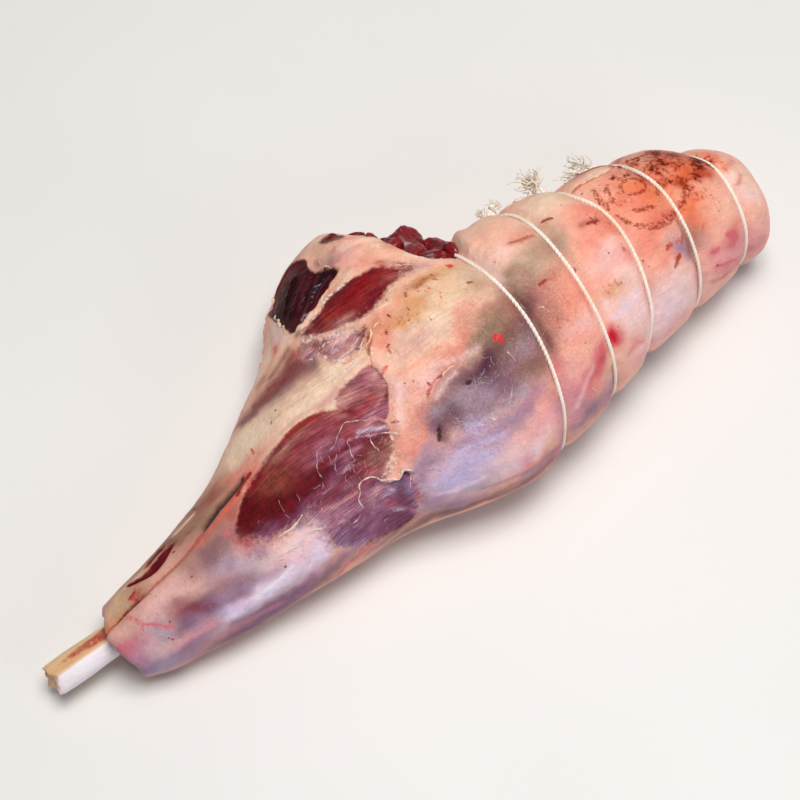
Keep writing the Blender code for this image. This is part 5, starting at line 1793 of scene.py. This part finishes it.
@dataclass
class ShankBone:
    """The shank bone, with its rough end and the blood on it."""

    form: LegForm
    columns: int = 80
    rings: int = 150
    tip: float = -0.004
    buried: float = 0.170
    girth: tuple[Row, Row] = (
        (-0.004, 0.0, 0.012, 0.030, 0.060, 0.110, 0.170), (0.97, 1.03, 1.05, 1.0, 0.97, 0.98, 1.06),
    )
    # Roughness of the shaft: height in millimetres, size in metres, start, stretch along it
    roughness: tuple[Row, ...] = ((0.35, 0.007, 2.0, 0.3), (0.18, 0.003, 5.0, 0.4))
    # Its ridge and its hollow: height in millimetres, middle and spread in degrees
    ridges: tuple[Row, ...] = ((0.5, 112, 16), (-0.35, 80, 22))
    # Chips round the end: depth in metres, how many round it, start
    chips: tuple[Row, ...] = ((0.0016, 1, -2.2), (0.0011, 3, 0.6), (0.0007, 7, 0.0))

    def build(self, effects: Effects) -> None:
        """Makes the bone and dresses it."""
        turns = np.arange(self.columns) * 360 / self.columns
        share = np.linspace(0, 1, self.rings - 16)
        x = self.tip + 0.0012 + (self.buried - self.tip - 0.0012) * share**1.5
        wide = np.interp(x, *self.girth)
        shaft = self.form.bone_points(x[:, None], turns[None, :], wide[:, None], -0.0001)
        points = shaft.reshape(-1, 3)
        rough = sum(height * lumps(points, size, start, (stretch, 1, 1))
                    for height, size, start, stretch in self.roughness)
        angle = np.tile(turns, len(x))
        ridge = sum(height * np.exp(-(((angle - middle) / spread) ** 2))
                    for height, middle, spread in self.ridges)
        lie = np.repeat(x, self.columns)
        rough = (rough + ridge) * (1 - eased(lie, 0.034, 0.042))
        side, high = self.form.bone_axis
        high = high + self.form.bone_climb * (lie - self.form.cut)
        axis = points - np.stack((points[:, 0], np.full_like(lie, side), high), axis=1)
        axis[:, 0] = 0
        axis /= np.linalg.norm(axis, axis=1, keepdims=True)
        shaft = (points + axis * rough[:, None] * MM).reshape(shaft.shape)
        radians = np.radians(turns)
        chip = sum(deep * np.cos(times * radians + start) for deep, times, start in self.chips)
        shaft[..., 0] += (0.0014 + chip)[None, :] * np.exp(-(x - x[0]) / 0.006)[:, None]
        middle = shaft[0].mean(axis=0)
        step = np.linspace(0, 1, 9)[1:, None, None] ** 0.8
        inward = np.array((0.0014, 0, 0))
        tip = (middle + inward) * (1 - step) + shaft[0] * step
        tip[:-1, :, 0] += 0.0009 * lumps(tip[:-1].reshape(-1, 3), 0.0035, 3.0).reshape(7, -1)
        far = shaft[-1].mean(axis=0)
        step = np.linspace(1, 0, 10)[1:-1, None, None]
        end = far * (1 - step) + shaft[-1] * step
        rings = np.concatenate((tip[:-1], shaft, end))
        shift = np.array(self.form.origin)
        mesh, source = wrapped_mesh("shank_bone_end", rings + shift, middle + inward + shift, far + shift)
        place = np.repeat(rings[:, :, 0].mean(axis=1), self.columns)
        self._paint(mesh, place / MM, np.tile(turns, len(rings)), source)
        add_piece("shank_bone_end", mesh, BoneFinish().make(effects), Slot.BONE, "shank_bone")

    @staticmethod
    def _paint(mesh: bpy.types.Mesh, x: np.ndarray, turns: np.ndarray, source: np.ndarray) -> None:
        """Paints the tan side, the chalky side with its painted highlight, and the blood."""
        # painted highlight: the pale side facing right is partly chalky bone, partly a sheen of light painted
        # in
        chalk_and_sheen = eased(turns, 96, 112) * (1 - eased(turns, 205, 240))
        tone = np.array(BONE.light) * (1 - chalk_and_sheen)[:, None] + np.array(CHALK_SHEEN.light) * chalk_and_sheen[:, None]
        warm = np.exp(-(((turns - 84) / 14) ** 2)) * 0.5
        tone += warm[:, None] * (np.array(OCHRE.light) - tone)
        end = 0.35 * np.exp(-((x + 4) / 4) ** 2)
        tone += end[:, None] * (np.array(SALMON.light) - tone)
        paint_colour(mesh, "bone_tone", tone[source])
        width = np.interp(x, (6, 14, 34), (0.0, 3.0, 7.0))
        middle = np.interp(x, (6, 20, 36), (70, 66, 70))
        blood = width * 0.5 - np.abs(turns - middle) * 0.16
        paint_value(mesh, "blood_edge", np.where(x < 5, -3.0, blood)[source])


def curve_mesh(
    paths: Sequence[np.ndarray], radius: float, closed: bool, sides: int = 1,
    shares: Sequence[np.ndarray] | None = None,
) -> bpy.types.Mesh:
    """Round tubes along paths, as one mesh.

    Args:
        paths: Each path's points.
        radius: The tubes' radius.
        closed: Whether each path ends where it starts.
        sides: How finely the tubes are rounded.
        shares: For each path, the share of the radius at each point; all 1 where none is given.

    Returns:
        The mesh.
    """
    curve = bpy.data.curves.new("tube", "CURVE")
    curve.dimensions = "3D"
    curve.bevel_depth = radius
    curve.bevel_resolution = sides
    curve.use_fill_caps = not closed
    for number, path in enumerate(paths):
        spline = curve.splines.new("POLY")
        spline.points.add(len(path) - 1)
        spline.points.foreach_set("co", np.hstack((path, np.ones((len(path), 1)))).ravel())
        spline.points.foreach_set("radius", np.ones(len(path)) if shares is None else shares[number])
        spline.use_cyclic_u = closed
    holder = bpy.data.objects.new("tube", curve)
    bpy.context.scene.collection.objects.link(holder)
    bpy.context.view_layer.update()
    mesh = bpy.data.meshes.new_from_object(holder.evaluated_get(bpy.context.evaluated_depsgraph_get()))
    bpy.data.objects.remove(holder, do_unlink=True)
    bpy.data.curves.remove(curve)
    bm = bmesh.new()
    bm.from_mesh(mesh)
    bmesh.ops.remove_doubles(bm, verts=bm.verts, dist=1e-6)
    bmesh.ops.recalc_face_normals(bm, faces=bm.faces)
    bm.to_mesh(mesh)
    bm.free()
    return mesh


@dataclass
class Twine:
    """One loop of twine laid in its groove: three twisted strands, a knot and two frayed tails."""

    form: LegForm
    number: int
    strand: float = 0.00066
    spread: float = 0.00060
    twist: float = 0.0085
    lift: float = 0.0001
    knot_size: float = 0.00135
    knot_half: float = 0.0013
    fibre_half: float = 0.00060
    fibres: int = 60
    longer: float = 1.2

    def laid(self, line: np.ndarray, closed: bool) -> list[np.ndarray]:
        """Three strands twisted about a line."""
        ahead = np.roll(line, -1, axis=0) - np.roll(line, 1, axis=0) if closed else np.gradient(line, axis=0)
        ahead /= np.linalg.norm(ahead, axis=1, keepdims=True)
        step = np.linalg.norm(np.diff(line, axis=0, append=line[:1] if closed else line[-1:]), axis=1)
        run = np.concatenate(([0], np.cumsum(step)))[:-1]
        total = run[-1] + step[-1]
        rounds = max(1, round(total / self.twist)) / total if closed else 1 / self.twist
        side = np.cross(ahead, (1.0, 0.0, 0.0)) if closed else np.cross(ahead, (0.3, 0.2, 1.0))
        side /= np.linalg.norm(side, axis=1, keepdims=True)
        other = np.cross(ahead, side)
        strands = []
        for third in range(3):
            angle = 2 * math.pi * (run * rounds + third / 3)
            around = side * np.cos(angle)[:, None] + other * np.sin(angle)[:, None]
            strands.append(line + around * self.spread)
        return strands

    def knot(self, middle: np.ndarray) -> np.ndarray:
        """A small overhand knot as a closed line."""
        t = np.linspace(0, 2 * math.pi, 90, endpoint=False)
        x, y = np.sin(t) + 1.6 * np.sin(2 * t), np.cos(t) - 1.6 * np.cos(2 * t)
        return middle + self.knot_size * np.stack((x, y, -0.95 * np.sin(3 * t)), axis=1)

    def tail(self, middle: np.ndarray, reach: np.ndarray, seed: int) -> tuple[np.ndarray, list[np.ndarray]]:
        """A tail's line, and the loose fibres at its end."""
        share = np.linspace(0, 1, 14)[:, None]
        reach = reach * self.longer
        bow = np.cross(reach, (0, 0, 1)) * 0.12
        line = middle + reach * share * 0.55 + bow * np.sin(math.pi * share)
        draw = np.random.default_rng(100 * self.number + seed)
        fibres = []
        for _ in range(self.fibres):
            spread = draw.normal(0, 0.34, 3) * np.linalg.norm(reach)
            curl = draw.normal(0, 0.14, 3) * np.linalg.norm(reach)
            step = np.linspace(0, 1, 8)[:, None]
            fibres.append(line[-1] + (reach * 0.42 + spread * 0.75) * step + curl * np.sin(math.pi * step))
        return line, fibres

    def build(self, finish: bpy.types.Material) -> None:
        """Makes the loop, its knot and its tails."""
        loop = LOOPS[self.number - 1]
        origin = np.array(self.form.origin)
        turns = np.linspace(0, 360, 440, endpoint=False)
        line = self.form.points(np.full(turns.shape, loop.place), turns, -self.lift) + origin
        line[:, 2] = np.maximum(line[:, 2], self.strand + self.spread)
        middle = self.form.points(np.array([loop.place]), np.array([loop.knot_turn]), -0.003)[0] + origin
        strands, loose = [], []
        for seed, reach in enumerate(loop.tails):
            tail, fibres = self.tail(middle, np.array(reach), seed)
            strands += self.laid(tail, False)
            loose += fibres
        thinning = [np.linspace(1, 0.45, len(fibre)) for fibre in loose]
        mesh = curve_mesh(self.laid(line, True), self.strand, True)
        add_piece(f"twine_loop_{self.number}", mesh, finish, Slot.TWINE, f"twine_{self.number}")
        for name, mesh in (
            ("knot", curve_mesh([self.knot(middle)], self.knot_half, True, 2)),
            ("tails", curve_mesh(strands, self.strand, False)),
            ("fray", curve_mesh(loose, self.fibre_half, False, 0, thinning)),
        ):
            add_piece(f"{name}_{self.number}", mesh, finish, Slot.TWINE)


@dataclass
class NotchChunks:
    """The dark lumps of cut flesh between the flap and the rolled rump."""

    form: LegForm
    lumps: tuple[Row, ...] = (
        (290, 44, 8.5, 8, 6.0, 1),
        (296, 49, 8, 7, 6.0, 2),
        (304, 48, 9, 8, 6.5, 3),
        (311, 44, 7, 7, 5.5, 4),
        (316, 38, 6, 7, 5.0, 5),
        (322, 39, 6, 9, 8.0, 6),
        (298, 34, 12, 12, 7, 7),
        (312, 28, 11, 12, 7, 8),
        (286, 33, 6, 6, 4.5, 9),
        (280, 27, 7, 5, 4.0, 10),
        (292, 36, 6, 6, 5.5, 11),
        (272, 26, 6, 5, 3.5, 12),
    )
    facets: int = 13
    softness: float = 14.0

    def _reach(self, way: Vector, cuts: list[tuple[Vector, float]]) -> float:
        """How far a lump reaches in one direction, where rounded cuts bound it."""
        total = 0.82 ** self.softness
        for normal, gap in cuts:
            total += max(way.dot(normal) / gap, 0.0) ** self.softness
        return total ** (-1.0 / self.softness)

    def build(self, effects: Effects) -> None:
        """Makes every lump as a rough closed shape with blunt facets."""
        bm = bmesh.new()
        draw = np.random.default_rng(23)
        for x, degrees, along, across, high, seed in self.lumps:
            middle = self.form.points(np.array([x * MM]), np.array([degrees]), 0.005)[0]
            spot = Vector(middle) + self.form.origin
            cuts = [
                (Vector(draw.normal(0, 1, 3)).normalized(), draw.uniform(0.7, 1.0))
                for _ in range(self.facets)
            ]
            made = bmesh.ops.create_icosphere(bm, subdivisions=5, radius=1.0)["verts"]
            for vert in made:
                way = vert.co.normalized()
                rough = 0.07 * noise.noise(way * 3.2 + Vector((seed * 7.3, 0, 0)))
                rough += 0.035 * noise.noise(way * 9 + Vector((0, 0, seed * 5.7)))
                size = self._reach(way, cuts) + rough
                vert.co = spot + Vector((way.x * along, way.y * across, way.z * high)) * size * MM
        mesh = bpy.data.meshes.new("notch_flesh")
        bm.to_mesh(mesh)
        bm.free()
        add_piece("notch_flesh", mesh, FleshFinish().make(effects), Slot.MEAT)


# ---------------------------------------------------------------- the room


@dataclass
class Room:
    """The floor, the soft lights and the camera."""

    form: LegForm
    eye: Tint = (-0.0293, -0.3711, 1.0318)
    aim: Tint = (0.24813503, 0.01920314, 0.05)
    lens: float = 85.0

    def build(self) -> None:
        """Sets up everything round the leg."""
        bm = bmesh.new()
        bmesh.ops.create_grid(bm, x_segments=1, y_segments=1, size=6.0)
        mesh = bpy.data.meshes.new("floor")
        bm.to_mesh(mesh)
        bm.free()
        mesh.materials.append(FloorFinish().make())
        floor = bpy.data.objects.new("floor", mesh)
        bpy.context.scene.collection.objects.link(floor)
        self._light("key", (0.15, -0.10, 2.0), 0.9, 31, (1.0, 0.97, 0.93))
        self._light("sky", (0.1, 0.1, 2.4), 2.0, 10, (1.0, 0.99, 0.98))
        self._light("cool_side", (0.5, -1.6, 0.8), 1.0, 6, (0.86, 0.90, 1.0))
        world = bpy.data.worlds.new("room")
        world.use_nodes = True
        world.node_tree.nodes["Background"].inputs["Color"].default_value = (0.92, 0.93, 0.96, 1.0)
        world.node_tree.nodes["Background"].inputs["Strength"].default_value = 0.155
        bpy.context.scene.world = world
        bpy.context.scene.view_settings.view_transform = "Standard"
        self._camera()

    def _light(self, name: str, place: Tint, size: float, power: float, tint: Tint) -> None:
        """A soft square light that faces the leg."""
        lamp = bpy.data.lights.new(name, "AREA")
        lamp.size = size
        lamp.energy = power
        lamp.color = tint
        made = bpy.data.objects.new(name, lamp)
        bpy.context.scene.collection.objects.link(made)
        spot = Vector(place)
        made.location = spot
        made.rotation_euler = (Vector((0, 0, 0.05)) - spot).to_track_quat("-Z", "Y").to_euler()

    def _camera(self) -> None:
        """The camera, looking down across the leg from the right of its bone."""
        lens = bpy.data.cameras.new("camera")
        lens.lens = self.lens
        lens.sensor_width = 36.0
        lens.clip_start, lens.clip_end = 0.05, 20.0
        made = bpy.data.objects.new("camera", lens)
        bpy.context.scene.collection.objects.link(made)
        eye, aim = Vector(self.eye) + self.form.origin, Vector(self.aim) + self.form.origin
        made.location = eye
        made.rotation_euler = (aim - eye).to_track_quat("-Z", "Y").to_euler()
        bpy.context.scene.camera = made


def main() -> None:
    """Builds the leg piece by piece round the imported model."""
    logging.basicConfig(level=logging.INFO, format="%(name)s: %(message)s")
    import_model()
    form = LegForm()
    form.settle()
    effects = Effects()
    surface = Skin(form).build(effects)
    Membranes(surface).build(effects)
    ShankBone(form).build(effects)
    NotchChunks(form).build(effects)
    twine_finish = TwineFinish().make(effects)
    for number in range(1, len(LOOPS) + 1):
        Twine(form, number).build(twine_finish)
    Room(form).build()


if __name__ == "__main__":
    main()
